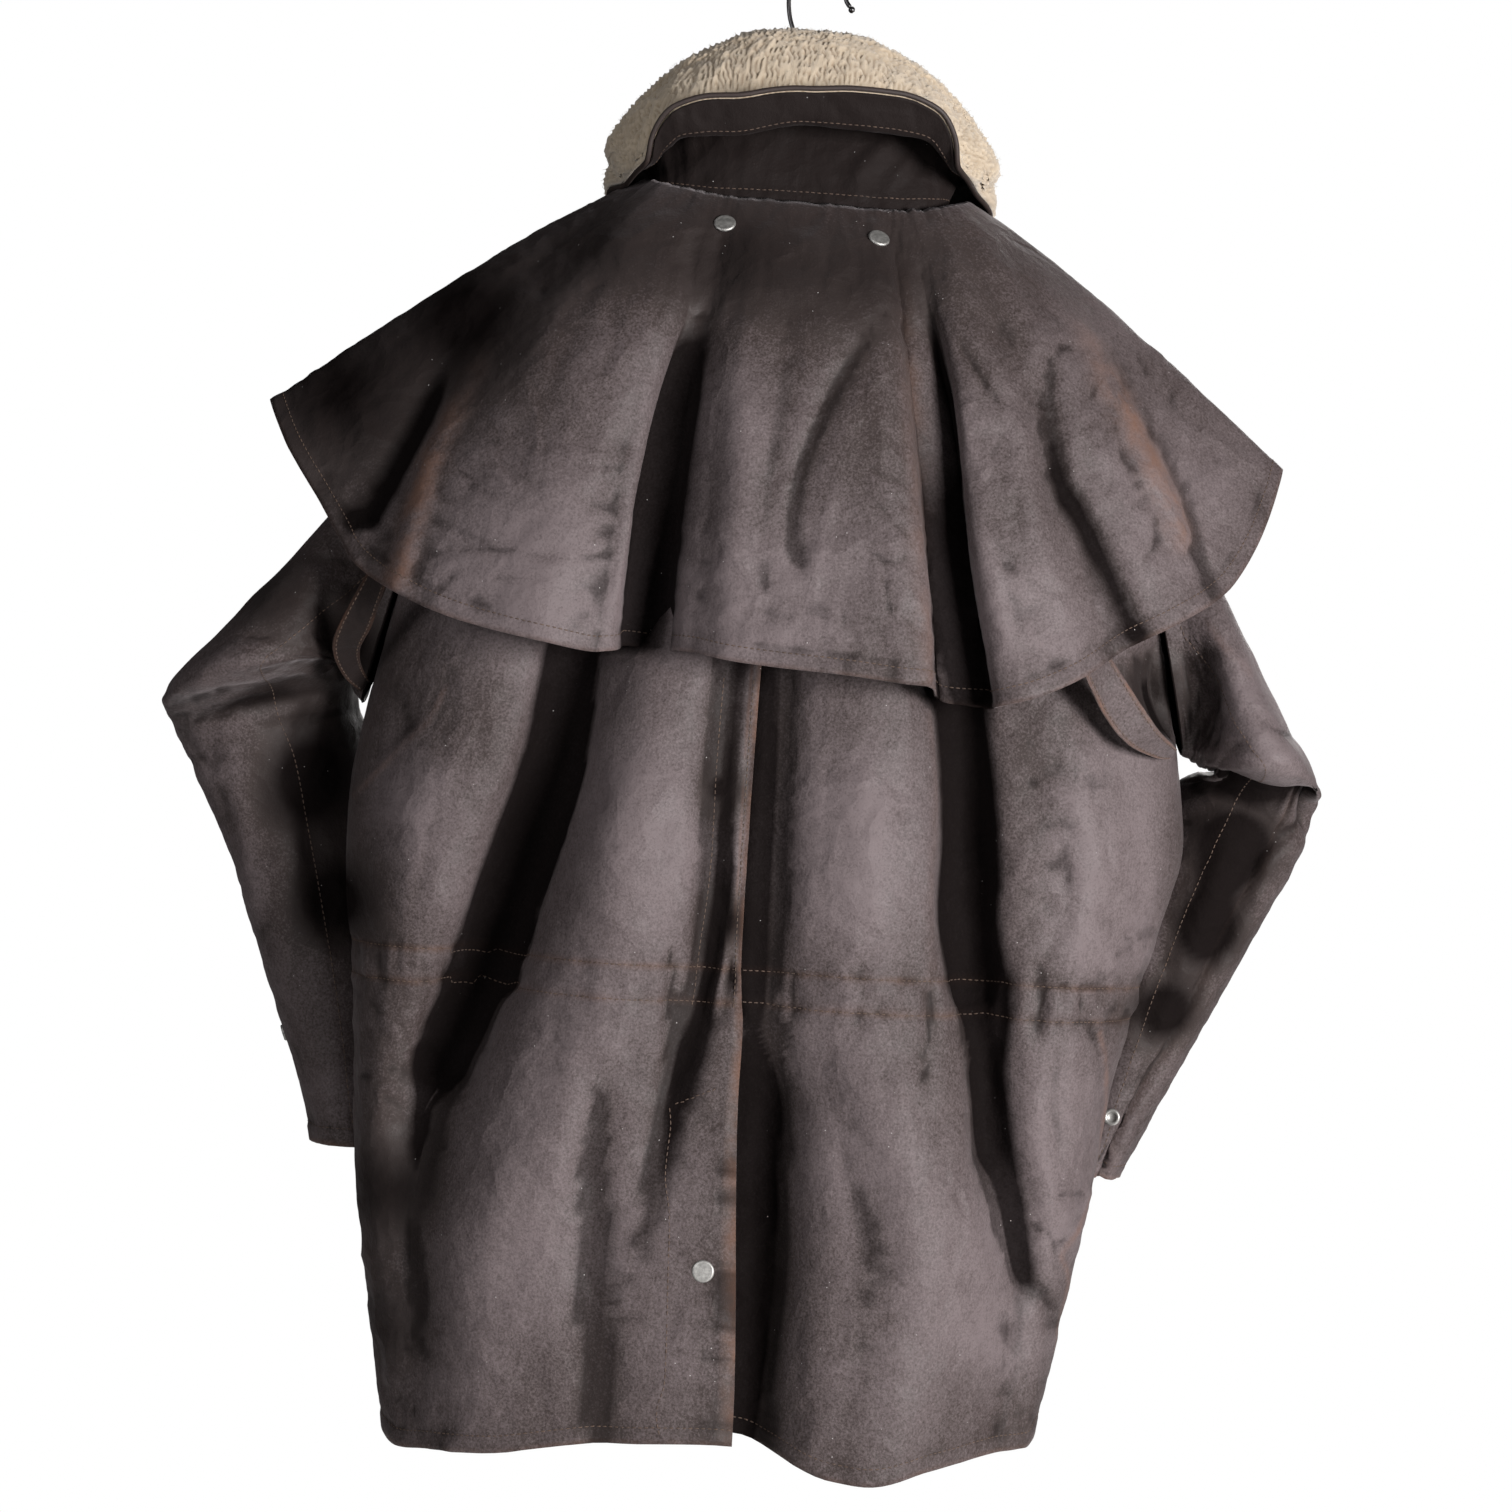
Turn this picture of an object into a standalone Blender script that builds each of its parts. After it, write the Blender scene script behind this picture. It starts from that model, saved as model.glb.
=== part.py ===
# Duster coat of waxed cotton with a shoulder cape and a fleece collar, hung on a hanger.
# Metres, +Z up. The origin is the inside top of the hanger's hook. The coat's back faces -Y,
# and +X is the wearer's right.

import math
from collections import namedtuple

import bpy
import numpy as np

# Driving sizes

CLOTH = 0.0018           # thickness of the waxed cotton
SEAM_GAP = 0.0003        # space left between two pieces
CAP_RADIUS = 0.0075      # snap caps, 15 mm across
CAP_HEIGHT = 0.0026
CAP_GAP = 0.0004
CUFF_CAP_RADIUS = 0.0060
FLEECE = 0.0090          # pile and backing of the collar's fleece
FLEECE_AT_EDGE = 0.0050
PIPING_RADIUS = 0.0018
PIPING_GAP = 0.0006
STRAP_CLOTH = 0.0016
STRAP_GAP = 0.0006
HOOK_RADIUS = 0.0220     # to the middle of the hook's wire
WIRE_RADIUS = 0.0016
BAR_WIDTH = 0.0120       # the hanger's bar, front to back
BAR_HEIGHT = 0.0200
BAR_REACH = 0.190        # from the middle to each end
BAR_CLEARANCE = 0.0006
BAR_END = 0.6            # how much the bar narrows at its ends
BAR_SPANS = 16
HOOK_Z = -(HOOK_RADIUS - WIRE_RADIUS)   # the middle of the hook's arc
HOOK_START = 218         # degrees round the arc, from the stem over the top to the ball
HOOK_END = -28
HOOK_SPANS = 14
BALL_RADIUS = 0.0026

UNDERARM_Z = -0.540
VENT_TOP_Z = -0.733      # below this the left back panel laps over the right one
VENT_FULL_Z = -0.765     # the lap has its whole width from here down
VENT_UNDERLAP = 0.038
FLAP_DRIFT = 0.010       # how far the flap's edge swings to the right at the hem
FRONT_NECK_SHARE = 0.75  # of the front's neck line that the collar covers
FRONT_LAP = 0.028        # each front passes the middle by this much
FRONT_STEP = 0.0030      # half of the depth between the lapped fronts
WAIST_Z = -0.7125        # middle of the drawstring casing
CASING_HEIGHT = 0.021
CASING_RISE = 0.0012

COLOURS = {
    "wax": (0.045, 0.030, 0.026),
    "dark_wax": (0.022, 0.015, 0.014),
    "fleece": (0.52, 0.46, 0.36),
    "silver": (0.42, 0.41, 0.39),
    "wood": (0.30, 0.19, 0.10),
    "steel": (0.16, 0.16, 0.17),
}

# Tables

# The body's outline at each level: the two side edges and the depth behind and in front.
Level = namedtuple("Level", "z left right back front")
LEVELS = (
    Level(-0.540, -0.2870, 0.2830, -0.116, 0.088),
    Level(-0.600, -0.2930, 0.2890, -0.124, 0.088),
    Level(-0.660, -0.2915, 0.2755, -0.126, 0.086),
    Level(-0.7125, -0.2840, 0.2625, -0.122, 0.080),
    Level(-0.780, -0.2780, 0.2475, -0.128, 0.078),
    Level(-0.850, -0.2735, 0.2390, -0.134, 0.078),
    Level(-0.930, -0.2620, 0.2270, -0.138, 0.080),
    Level(-1.035, -0.2430, 0.2100, -0.141, 0.082),
)
ROUNDNESS = 2.35         # of the body's section: 2 is an ellipse, more is squarer

# The hem's height across the back and across the front.
Hem = namedtuple("Hem", "x z")
BACK_HEM = (
    Hem(-0.243, -1.036),
    Hem(-0.228, -1.042),
    Hem(-0.205, -1.038),
    Hem(-0.159, -1.032),
    Hem(-0.095, -1.020),
    Hem(-0.003, -1.014),
    Hem(0.027, -1.021),
    Hem(0.066, -1.034),
    Hem(0.090, -1.036),
    Hem(0.130, -1.027),
    Hem(0.186, -1.020),
    Hem(0.200, -1.020),
    Hem(0.210, -1.012),
)
FRONT_HEM = (
    Hem(-0.243, -1.036),
    Hem(-0.215, -1.040),
    Hem(0.000, -1.034),
    Hem(0.190, -1.020),
    Hem(0.210, -1.012),
)

# The back's long folds: x and depth at each level of FOLD_Z. A trough is positive, a ridge negative.
# side says which panel has it, and columns of points follow the folds marked as guides.
FOLD_Z = (-0.500, -0.620, -0.715, -0.800, -0.900, -1.035)
Fold = namedtuple("Fold", "name side guide width x depth")
FOLDS = (
    Fold("left side swell", "both", True, 0.034,
         (-0.205, -0.238, -0.250, -0.254, -0.248, -0.230),
         (-0.006, -0.018, -0.014, -0.010, -0.008, -0.004)),
    Fold("long left valley", "both", True, 0.031,
         (-0.118, -0.156, -0.185, -0.216, -0.228, -0.216),
         (0.016, 0.036, 0.040, 0.036, 0.018, 0.004)),
    Fold("left ridge", "both", True, 0.038,
         (-0.080, -0.088, -0.101, -0.128, -0.168, -0.180),
         (-0.002, -0.018, -0.018, -0.018, -0.014, -0.008)),
    Fold("left inner valley", "both", True, 0.013,
         (-0.040, -0.037, -0.043, -0.058, -0.068, -0.070),
         (0.004, 0.012, 0.011, 0.007, 0.003, 0.000)),
    Fold("lower left ripple", "both", False, 0.015,
         (-0.100, -0.105, -0.110, -0.105, -0.098, -0.088),
         (0.000, 0.000, 0.000, 0.004, 0.008, 0.007)),
    Fold("centre dip", "both", False, 0.016,
         (0.003, 0.003, 0.004, 0.004, 0.004, 0.004),
         (0.005, 0.012, 0.012, 0.000, 0.000, 0.000)),
    Fold("vent recess", "right", False, 0.026,
         (0.006, 0.006, 0.006, 0.010, 0.012, 0.010),
         (0.000, 0.000, 0.000, 0.042, 0.050, 0.048)),
    Fold("right ridge", "both", True, 0.036,
         (0.060, 0.064, 0.072, 0.100, 0.122, 0.105),
         (-0.004, -0.016, -0.014, -0.018, -0.020, -0.016)),
    Fold("long right valley", "both", True, 0.019,
         (0.112, 0.135, 0.148, 0.163, 0.188, 0.184),
         (0.012, 0.024, 0.024, 0.022, 0.016, 0.006)),
    Fold("right side swell", "both", True, 0.028,
         (0.182, 0.220, 0.214, 0.212, 0.212, 0.198),
         (-0.004, -0.014, -0.012, -0.008, -0.004, 0.000)),
)

# Gathers of the waist casing: short creases across it, x and how far each reaches up and down.
Gather = namedtuple("Gather", "x up down depth width")
GATHERS = (
    Gather(-0.205, 0.012, 0.020, 0.0030, 0.0060),
    Gather(-0.165, 0.010, 0.014, 0.0024, 0.0060),
    Gather(-0.118, 0.014, 0.016, 0.0026, 0.0060),
    Gather(-0.060, 0.016, 0.052, 0.0048, 0.0050),
    Gather(-0.038, 0.030, 0.016, 0.0056, 0.0050),
    Gather(-0.022, 0.014, 0.014, 0.0034, 0.0045),
    Gather(0.024, 0.012, 0.020, 0.0030, 0.0055),
    Gather(0.068, 0.010, 0.014, 0.0024, 0.0060),
    Gather(0.114, 0.014, 0.034, 0.0052, 0.0050),
    Gather(0.129, 0.012, 0.016, 0.0044, 0.0042),
    Gather(0.143, 0.014, 0.022, 0.0048, 0.0046),
    Gather(0.166, 0.012, 0.026, 0.0040, 0.0055),
    Gather(0.188, 0.010, 0.016, 0.0030, 0.0055),
    Gather(0.225, 0.010, 0.018, 0.0026, 0.0060),
)

SHOULDER = (0.205, 0.000, -0.236)      # where the shoulder seam meets the armhole
NECK_DROP = 0.0038       # the panels' neck edge lies this far under the collar's
FRONT_NECK_Z = -0.222    # of the lapped corner between the collar's ends
FRONT_NECK_Y = 0.066
ARMHOLE_BACK = -0.044    # how far the armhole's curve reaches behind and before the shoulder seam
ARMHOLE_FRONT = 0.046
ARMHOLE_GAP = 0.0015     # between the middles of the two walls, so that their edges clear
BLADE_BULGE = 0.010      # the back's extra depth between neck and underarm
CHEST_BULGE = 0.012
BACK_SEAM_X = -0.010     # the centre-back seam below the shoulder blades

# The sleeves' sections: the upper outer point, the lower inner point, and the depth behind and before
# at its middle. The forearms' inner points swing forward, past the body's sides.
Ring = namedtuple("Ring", "outer_x outer_z inner_x inner_z inner_y back front")
LEFT_SLEEVE = (
    Ring(-0.2062, -0.2370, -0.2885, -0.5370, 0.001, -0.044, 0.046),
    Ring(-0.2300, -0.2780, -0.2935, -0.5310, 0.004, -0.042, 0.050),
    Ring(-0.2620, -0.3270, -0.2975, -0.5240, 0.006, -0.040, 0.052),
    Ring(-0.2930, -0.3750, -0.3005, -0.5180, 0.004, -0.046, 0.054),
    Ring(-0.3260, -0.4180, -0.3030, -0.5140, -0.001, -0.058, 0.056),
    Ring(-0.3600, -0.4610, -0.3050, -0.5110, -0.006, -0.070, 0.058),
    Ring(-0.3930, -0.5000, -0.3065, -0.5090, -0.010, -0.078, 0.058),
    Ring(-0.4170, -0.5270, -0.3080, -0.5080, -0.010, -0.080, 0.060),
    Ring(-0.4260, -0.5430, -0.3090, -0.5095, -0.005, -0.072, 0.062),
    Ring(-0.4255, -0.5520, -0.3115, -0.5190, 0.014, -0.040, 0.068),
    Ring(-0.4190, -0.5700, -0.2980, -0.5400, 0.050, -0.024, 0.078),
    Ring(-0.4060, -0.5960, -0.2850, -0.5740, 0.066, -0.018, 0.088),
    Ring(-0.3900, -0.6290, -0.2800, -0.6120, 0.070, -0.012, 0.098),
    Ring(-0.3760, -0.6620, -0.2750, -0.6520, 0.074, -0.004, 0.108),
    Ring(-0.3620, -0.7040, -0.2700, -0.6980, 0.080, 0.006, 0.118),
    Ring(-0.3490, -0.7450, -0.2650, -0.7420, 0.085, 0.016, 0.128),
    Ring(-0.3340, -0.7880, -0.2620, -0.7860, 0.087, 0.026, 0.136),
    Ring(-0.3230, -0.8220, -0.2600, -0.8210, 0.0865, 0.032, 0.141),
    Ring(-0.3160, -0.8530, -0.2530, -0.8520, 0.090, 0.036, 0.144),
)
RIGHT_SLEEVE = (
    Ring(0.2062, -0.2370, 0.2845, -0.5380, 0.001, -0.044, 0.046),
    Ring(0.2280, -0.2780, 0.2895, -0.5400, 0.004, -0.042, 0.050),
    Ring(0.2540, -0.3270, 0.2935, -0.5420, 0.006, -0.040, 0.052),
    Ring(0.2800, -0.3770, 0.2970, -0.5440, 0.004, -0.046, 0.054),
    Ring(0.3050, -0.4240, 0.3000, -0.5460, -0.001, -0.058, 0.056),
    Ring(0.3280, -0.4680, 0.3030, -0.5475, -0.006, -0.070, 0.058),
    Ring(0.3500, -0.5080, 0.3060, -0.5485, -0.010, -0.080, 0.060),
    Ring(0.3700, -0.5390, 0.3085, -0.5495, -0.010, -0.082, 0.062),
    Ring(0.3845, -0.5585, 0.3105, -0.5505, -0.003, -0.070, 0.064),
    Ring(0.3855, -0.5700, 0.2925, -0.5610, 0.050, -0.036, 0.070),
    Ring(0.3815, -0.5890, 0.2780, -0.5800, 0.064, -0.022, 0.080),
    Ring(0.3720, -0.6150, 0.2680, -0.6060, 0.070, -0.016, 0.090),
    Ring(0.3580, -0.6460, 0.2580, -0.6400, 0.076, -0.008, 0.100),
    Ring(0.3420, -0.6820, 0.2500, -0.6780, 0.080, 0.004, 0.110),
    Ring(0.3260, -0.7180, 0.2430, -0.7150, 0.086, 0.014, 0.120),
    Ring(0.3090, -0.7550, 0.2380, -0.7530, 0.090, 0.024, 0.128),
    Ring(0.2920, -0.7920, 0.2320, -0.7910, 0.090, 0.032, 0.135),
    Ring(0.2790, -0.8200, 0.2300, -0.8190, 0.088, 0.037, 0.139),
    Ring(0.2680, -0.8440, 0.2200, -0.8430, 0.091, 0.040, 0.142),
)

# The cape, from its left front edge round the back to its right front edge. Each row is one ruling
# from the neck seam to the hem, and "out_y" and "out_z" are how far its middle stands off a straight line.
Ruling = namedtuple("Ruling", "name neck_x neck_y neck_z hem_x hem_y hem_z out_y out_z")
CAPE = (
    Ruling("front edge", -0.034, 0.080, -0.224, -0.040, 0.120, -0.520, 0.024, 0.004),
    Ruling("front", -0.057, 0.069, -0.215, -0.090, 0.126, -0.516, 0.030, 0.006),
    Ruling("front", -0.080, 0.060, -0.202, -0.160, 0.120, -0.500, 0.034, 0.012),
    Ruling("front", -0.099, 0.042, -0.187, -0.232, 0.098, -0.468, 0.032, 0.018),
    Ruling("front", -0.108, 0.023, -0.173, -0.300, 0.062, -0.418, 0.022, 0.016),
    Ruling("wing front", -0.1110, 0.011, -0.1640, -0.346, 0.030, -0.362, 0.012, 0.010),
    Ruling("wing fold", -0.1115, 0.000, -0.1600, -0.3655, 0.000, -0.331, 0.000, 0.009),
    Ruling("wing back", -0.1110, -0.010, -0.1615, -0.3500, -0.032, -0.360, -0.012, 0.010),
    Ruling("wing trough", -0.1085, -0.020, -0.1640, -0.3190, -0.062, -0.404, -0.020, 0.012),
    Ruling("wing ridge", -0.1040, -0.030, -0.1660, -0.2870, -0.098, -0.447, -0.028, 0.014),
    Ruling("left lobe", -0.0960, -0.040, -0.1690, -0.2580, -0.124, -0.464, -0.034, 0.012),
    Ruling("left lobe", -0.0850, -0.048, -0.1720, -0.2150, -0.148, -0.480, -0.034, 0.008),
    Ruling("left lobe", -0.0730, -0.053, -0.1745, -0.1600, -0.163, -0.491, -0.036, 0.004),
    Ruling("left lobe edge", -0.0620, -0.056, -0.1765, -0.1180, -0.154, -0.496, -0.032, 0.002),
    Ruling("trough one", -0.0530, -0.0575, -0.1775, -0.0870, -0.123, -0.491, -0.031, 0.001),
    Ruling("centre lobe edge", -0.0450, -0.0580, -0.1780, -0.0610, -0.146, -0.492, -0.033, 0.000),
    Ruling("centre lobe", -0.0280, -0.0585, -0.1785, -0.0330, -0.168, -0.497, -0.036, 0.000),
    Ruling("centre lobe", -0.0050, -0.0585, -0.1790, 0.0050, -0.172, -0.500, -0.036, 0.000),
    Ruling("centre lobe", 0.0180, -0.0585, -0.1795, 0.0430, -0.174, -0.502, -0.036, 0.000),
    Ruling("centre lobe", 0.0360, -0.0580, -0.1800, 0.0780, -0.174, -0.505, -0.036, 0.000),
    Ruling("centre lobe edge", 0.0480, -0.0575, -0.1800, 0.1010, -0.160, -0.507, -0.034, 0.000),
    Ruling("trough two", 0.0560, -0.0565, -0.1800, 0.1070, -0.122, -0.513, -0.030, 0.001),
    Ruling("right lobe edge", 0.0650, -0.0550, -0.1795, 0.1300, -0.140, -0.518, -0.032, 0.002),
    Ruling("right lobe", 0.0750, -0.0520, -0.1780, 0.1600, -0.154, -0.512, -0.034, 0.004),
    Ruling("right lobe", 0.0850, -0.0480, -0.1760, 0.1960, -0.144, -0.496, -0.034, 0.006),
    Ruling("right trough", 0.0940, -0.0410, -0.1730, 0.2300, -0.114, -0.472, -0.030, 0.010),
    Ruling("right ridge", 0.1010, -0.0330, -0.1700, 0.2660, -0.102, -0.452, -0.028, 0.014),
    Ruling("wing back", 0.1070, -0.0220, -0.1670, 0.3020, -0.070, -0.426, -0.022, 0.014),
    Ruling("wing back", 0.1110, -0.010, -0.1640, 0.3300, -0.034, -0.376, -0.012, 0.010),
    Ruling("wing fold", 0.1125, 0.000, -0.1630, 0.3430, 0.000, -0.336, 0.000, 0.009),
    Ruling("wing front", 0.1120, 0.011, -0.1660, 0.3280, 0.030, -0.366, 0.012, 0.010),
    Ruling("front", 0.109, 0.023, -0.174, 0.288, 0.062, -0.420, 0.022, 0.016),
    Ruling("front", 0.100, 0.042, -0.187, 0.226, 0.098, -0.468, 0.032, 0.018),
    Ruling("front", 0.081, 0.060, -0.202, 0.156, 0.120, -0.500, 0.034, 0.012),
    Ruling("front", 0.058, 0.069, -0.215, 0.088, 0.126, -0.516, 0.030, 0.006),
    Ruling("front edge", 0.035, 0.080, -0.224, 0.040, 0.120, -0.520, 0.024, 0.004),
)

# The collar from its centre back round to its right front end, measured from COLLAR_X: the neck seam,
# the top of its roll, the belly of the fall and the fall's free edge.
COLLAR_X = -0.005
Station = namedtuple(
    "Station", "seam_x seam_y seam_z roll_x roll_y roll_z belly_x belly_y belly_z edge_x edge_y edge_z")
COLLAR = (
    Station(0.000, -0.0563, -0.1860, 0.000, -0.040, -0.0660, 0.000, -0.082, -0.1290, 0.000, -0.100, -0.1110),
    Station(0.030, -0.0560, -0.1860, 0.028, -0.040, -0.0670, 0.030, -0.082, -0.1300, 0.031, -0.100, -0.1090),
    Station(0.056, -0.0540, -0.1850, 0.056, -0.038, -0.0760, 0.056, -0.081, -0.1310, 0.062, -0.098, -0.1100),
    Station(0.080, -0.0450, -0.1800, 0.084, -0.034, -0.0920, 0.080, -0.078, -0.1330, 0.088, -0.093, -0.1180),
    Station(0.094, -0.0330, -0.1740, 0.106, -0.026, -0.1120, 0.097, -0.066, -0.1420, 0.105, -0.082, -0.1340),
    Station(0.100, -0.0180, -0.1690, 0.1210, -0.014, -0.1300, 0.113, -0.048, -0.1490, 0.112, -0.066, -0.1500),
    Station(0.101, 0.0000, -0.1670, 0.1230, 0.006, -0.1350, 0.128, -0.010, -0.1480, 0.124, -0.034, -0.1540),
    Station(0.096, 0.0240, -0.1740, 0.1110, 0.034, -0.1380, 0.128, 0.036, -0.1540, 0.133, 0.024, -0.1650),
    Station(0.083, 0.0430, -0.1880, 0.0930, 0.058, -0.1470, 0.116, 0.074, -0.1680, 0.123, 0.078, -0.1860),
    Station(0.062, 0.0570, -0.2020, 0.0680, 0.076, -0.1620, 0.088, 0.100, -0.1860, 0.092, 0.108, -0.2110),
    Station(0.042, 0.0650, -0.2120, 0.0450, 0.086, -0.1760, 0.058, 0.114, -0.2030, 0.060, 0.122, -0.2280),
)
NECK_SIDE_STATION = 6    # where the shoulder seam meets the neck seam
ROLL_RADIUS = 0.0065     # of the cloth inside the collar's roll

# The arm straps, from below the cape's hem to the underarm: both edges of each section. Above these rows
# each strap lies on the cape's inside, at these places along its rulings: outer edge, middle, inner edge.
StrapRow = namedtuple("StrapRow", "outer_x outer_y outer_z inner_x inner_y inner_z")
STRAP_ENDS = {"strap_left": (9.25, 9.5, 9.75), "strap_right": (24.75, 24.5, 24.25)}
STRAP_DOWN = (0.95, 1.0)
LEFT_STRAP = (
    StrapRow(-0.3010, -0.0800, -0.4900, -0.2760, -0.0870, -0.4840),
    StrapRow(-0.3040, -0.0640, -0.5060, -0.2860, -0.0640, -0.5010),
    StrapRow(-0.2980, -0.0440, -0.5210, -0.2870, -0.0400, -0.5130),
    StrapRow(-0.2884, -0.0240, -0.5300, -0.2829, -0.0240, -0.5220),
)
RIGHT_STRAP = (
    StrapRow(0.2420, -0.1060, -0.5060, 0.2180, -0.1120, -0.5160),
    StrapRow(0.2580, -0.0920, -0.5240, 0.2360, -0.0980, -0.5340),
    StrapRow(0.2710, -0.0660, -0.5330, 0.2580, -0.0720, -0.5420),
    StrapRow(0.2770, -0.0370, -0.5355, 0.2716, -0.0455, -0.5425),
)

# Snap caps: x and z on the piece that carries each.
CAPE_SNAPS = {"snap_cape_left": (-0.055, -0.202), "snap_cape_right": (0.049, -0.204)}
VENT_SNAP = (-0.024, -0.901)
FRONT_SNAPS_X = 0.006
FRONT_SNAPS_Z = (-0.580, -0.690, -0.800, -0.910)
CUFF_SNAPS = (
    ("snap_cuff_left", LEFT_SLEEVE, -0.338, -0.778, (-1.0, -0.35, 0.0)),
    ("snap_cuff_right", RIGHT_SLEEVE, 0.256, -0.797, (-0.3, -1.0, 0.0)),
)

# How finely each piece is divided
BACK_COLUMNS = 22
FRONT_COLUMNS = 10
SLEEVE_COLUMNS = 18
CAPE_ROWS = 10
COLLAR_COLUMNS = 28
COLLAR_ROWS = (0, 1.0, 2.0, 3.0, 3.6, 4.0, 4.4, 5.0, 6.0, 6.6, 7.2, 8.0)    # along collar_path
STRAP_STEPS = 3          # rows between two of the strap tables' rows
PIPING_SIDES = 5
CAP_SIDES = 12
FINER = 8                # points on each facet's side where something is set on it

# The rows and columns of each grid that its snaps lie in
CAPE_SNAP_AREA = (slice(0, 3), slice(26, 47))
VENT_SNAP_AREA = (slice(-8, None), slice(-6, None))
PLACKET_AREA = (slice(-9, None), slice(-3, None))
CUFF_AREA = (slice(-6, None), slice(0, 10))

YOKE_ROWS = (0.0, 0.04, 0.18, 0.36, 0.54, 0.70, 0.86)
BACK_ROWS_Z = (
    -0.540, -0.570, -0.600, -0.630, -0.660, -0.684, -0.7010, -0.7125, -0.7240,
    -0.733, -0.748, -0.765, -0.790, -0.820, -0.850, -0.885, -0.920, -0.960, -1.000, -1.035)
FRONT_ROWS_Z = (-0.540, -0.590, -0.640, -0.7125, -0.765, -0.830, -0.900, -0.970, -1.035)


def smooth(at, places, values):
    """A curve through the table's values that never swings past them."""
    places = np.asarray(places, float)
    values = np.asarray(values, float)
    if places[0] > places[-1]:
        places, values = places[::-1], values[::-1]
    steps = np.diff(places)
    slopes = np.diff(values) / steps
    tangents = np.zeros(len(values))
    same_way = slopes[1:] * slopes[:-1] > 0
    tangents[1:-1][same_way] = 2 * (slopes[1:] * slopes[:-1])[same_way] / (slopes[1:] + slopes[:-1])[same_way]
    tangents[0], tangents[-1] = slopes[0], slopes[-1]
    k = int(np.clip(np.searchsorted(places, at) - 1, 0, len(steps) - 1))
    t = min(max((at - places[k]) / steps[k], 0.0), 1.0)
    return float(values[k] * (1 + 2 * t) * (1 - t) ** 2 + tangents[k] * steps[k] * t * (1 - t) ** 2
                 + values[k + 1] * t * t * (3 - 2 * t) + tangents[k + 1] * steps[k] * t * t * (t - 1))


def column(rows, name):
    return [getattr(row, name) for row in rows]


def ease(low, high, at):
    """0 at low, 1 at high and smooth between them, whichever is the larger."""
    t = min(max((at - low) / (high - low), 0.0), 1.0)
    return t * t * (3 - 2 * t)


def row_point(row, kind):
    return np.array([getattr(row, kind + axis) for axis in ("_x", "_y", "_z")])


# The body's surface


def outline(z, name):
    return smooth(max(min(z, LEVELS[0].z), LEVELS[-1].z), column(LEVELS, "z"), column(LEVELS, name))


def fold_depth(x, z, side):
    """How far the back's folds and gathers move a point forward."""
    total = 0.0
    for fold in FOLDS:
        if fold.side not in ("both", side):
            continue
        across = (x - smooth(z, FOLD_Z, fold.x)) / fold.width
        if fold.side == "right" and across < 0:
            across = 0.0
        total += smooth(z, FOLD_Z, fold.depth) * math.exp(-across * across)
    for gather in GATHERS:
        reach = gather.up if z > WAIST_Z else gather.down
        down = (z - WAIST_Z) / (reach + CASING_HEIGHT / 2)
        across = (x - gather.x) / gather.width
        total += gather.depth * math.exp(-down * down - across * across)
    return total


def casing_rise(z):
    return CASING_RISE if abs(z - WAIST_Z) < CASING_HEIGHT / 2 else 0.0


def section(turn, edge_x, middle_x):
    """The x of a column on the body's rounded section: turn runs from 0 at the side to 1 at the middle."""
    return middle_x + (edge_x - middle_x) * max(math.cos(turn * math.pi / 2), 0.0) ** (2 / ROUNDNESS)


def section_depth(x, edge_x, middle_x, depth):
    across = min(abs((x - middle_x) / (edge_x - middle_x)), 1.0)
    return depth * (1 - across ** ROUNDNESS) ** (1 / ROUNDNESS)


def follow_folds(x, side, level):
    """Moves a column sideways so that it stays on its fold from the underarm to the hem."""
    sign = -1 if side == "left" else 1
    drifting = [fold for fold in FOLDS if fold.guide and fold.x[0] * sign > 0]
    drifting.sort(key=lambda fold: fold.x[0])
    top = [fold.x[0] for fold in drifting]
    here = [smooth(level, FOLD_Z, fold.x) for fold in drifting]
    ends = (outline(UNDERARM_Z, side), outline(level, side))
    if side == "left":
        return float(np.interp(x, [ends[0]] + top + [BACK_SEAM_X], [ends[1]] + here + [BACK_SEAM_X]))
    return float(np.interp(x, [BACK_SEAM_X] + top + [ends[0]], [BACK_SEAM_X] + here + [ends[1]]))


def back_point(side, turn, level):
    """A point of the back below the underarm. level is the row's height on a straight hem."""
    edge_x = outline(level, side)
    x = follow_folds(section(turn, outline(UNDERARM_Z, side), BACK_SEAM_X), side, level)
    y = section_depth(x, edge_x, BACK_SEAM_X, outline(level, "back"))
    if side == "left":
        x += turn ** 4 * FLAP_DRIFT * ease(VENT_FULL_Z, BACK_ROWS_Z[-1], level)
    else:
        x -= turn ** 6 * VENT_UNDERLAP * ease(VENT_TOP_Z, VENT_FULL_Z, level)
    fade = ease(0.0, 0.12, turn)
    y += fade * (fold_depth(x, level, side) - casing_rise(level))
    return np.array([x, y, level + hem_drop(x, level, BACK_HEM)])


def hem_drop(x, level, hem):
    """How far the uneven hem moves a point down. It starts below the vent's top."""
    last = BACK_ROWS_Z[-1]
    share = min(max((level - VENT_FULL_Z) / (last - VENT_FULL_Z), 0.0), 1.0)
    return share * (smooth(x, column(hem, "x"), column(hem, "z")) - last)


def front_point(side, turn, level):
    edge_x = outline(level, side)
    sign = -1 if side == "left" else 1
    middle_x = -sign * FRONT_LAP
    x = section(turn, edge_x, middle_x)
    y = section_depth(x, edge_x, middle_x, outline(level, "front"))
    y -= sign * FRONT_STEP * ease(0.10, 0.03, abs(x))
    return np.array([x, y, level + hem_drop(x, level, FRONT_HEM)])


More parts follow.
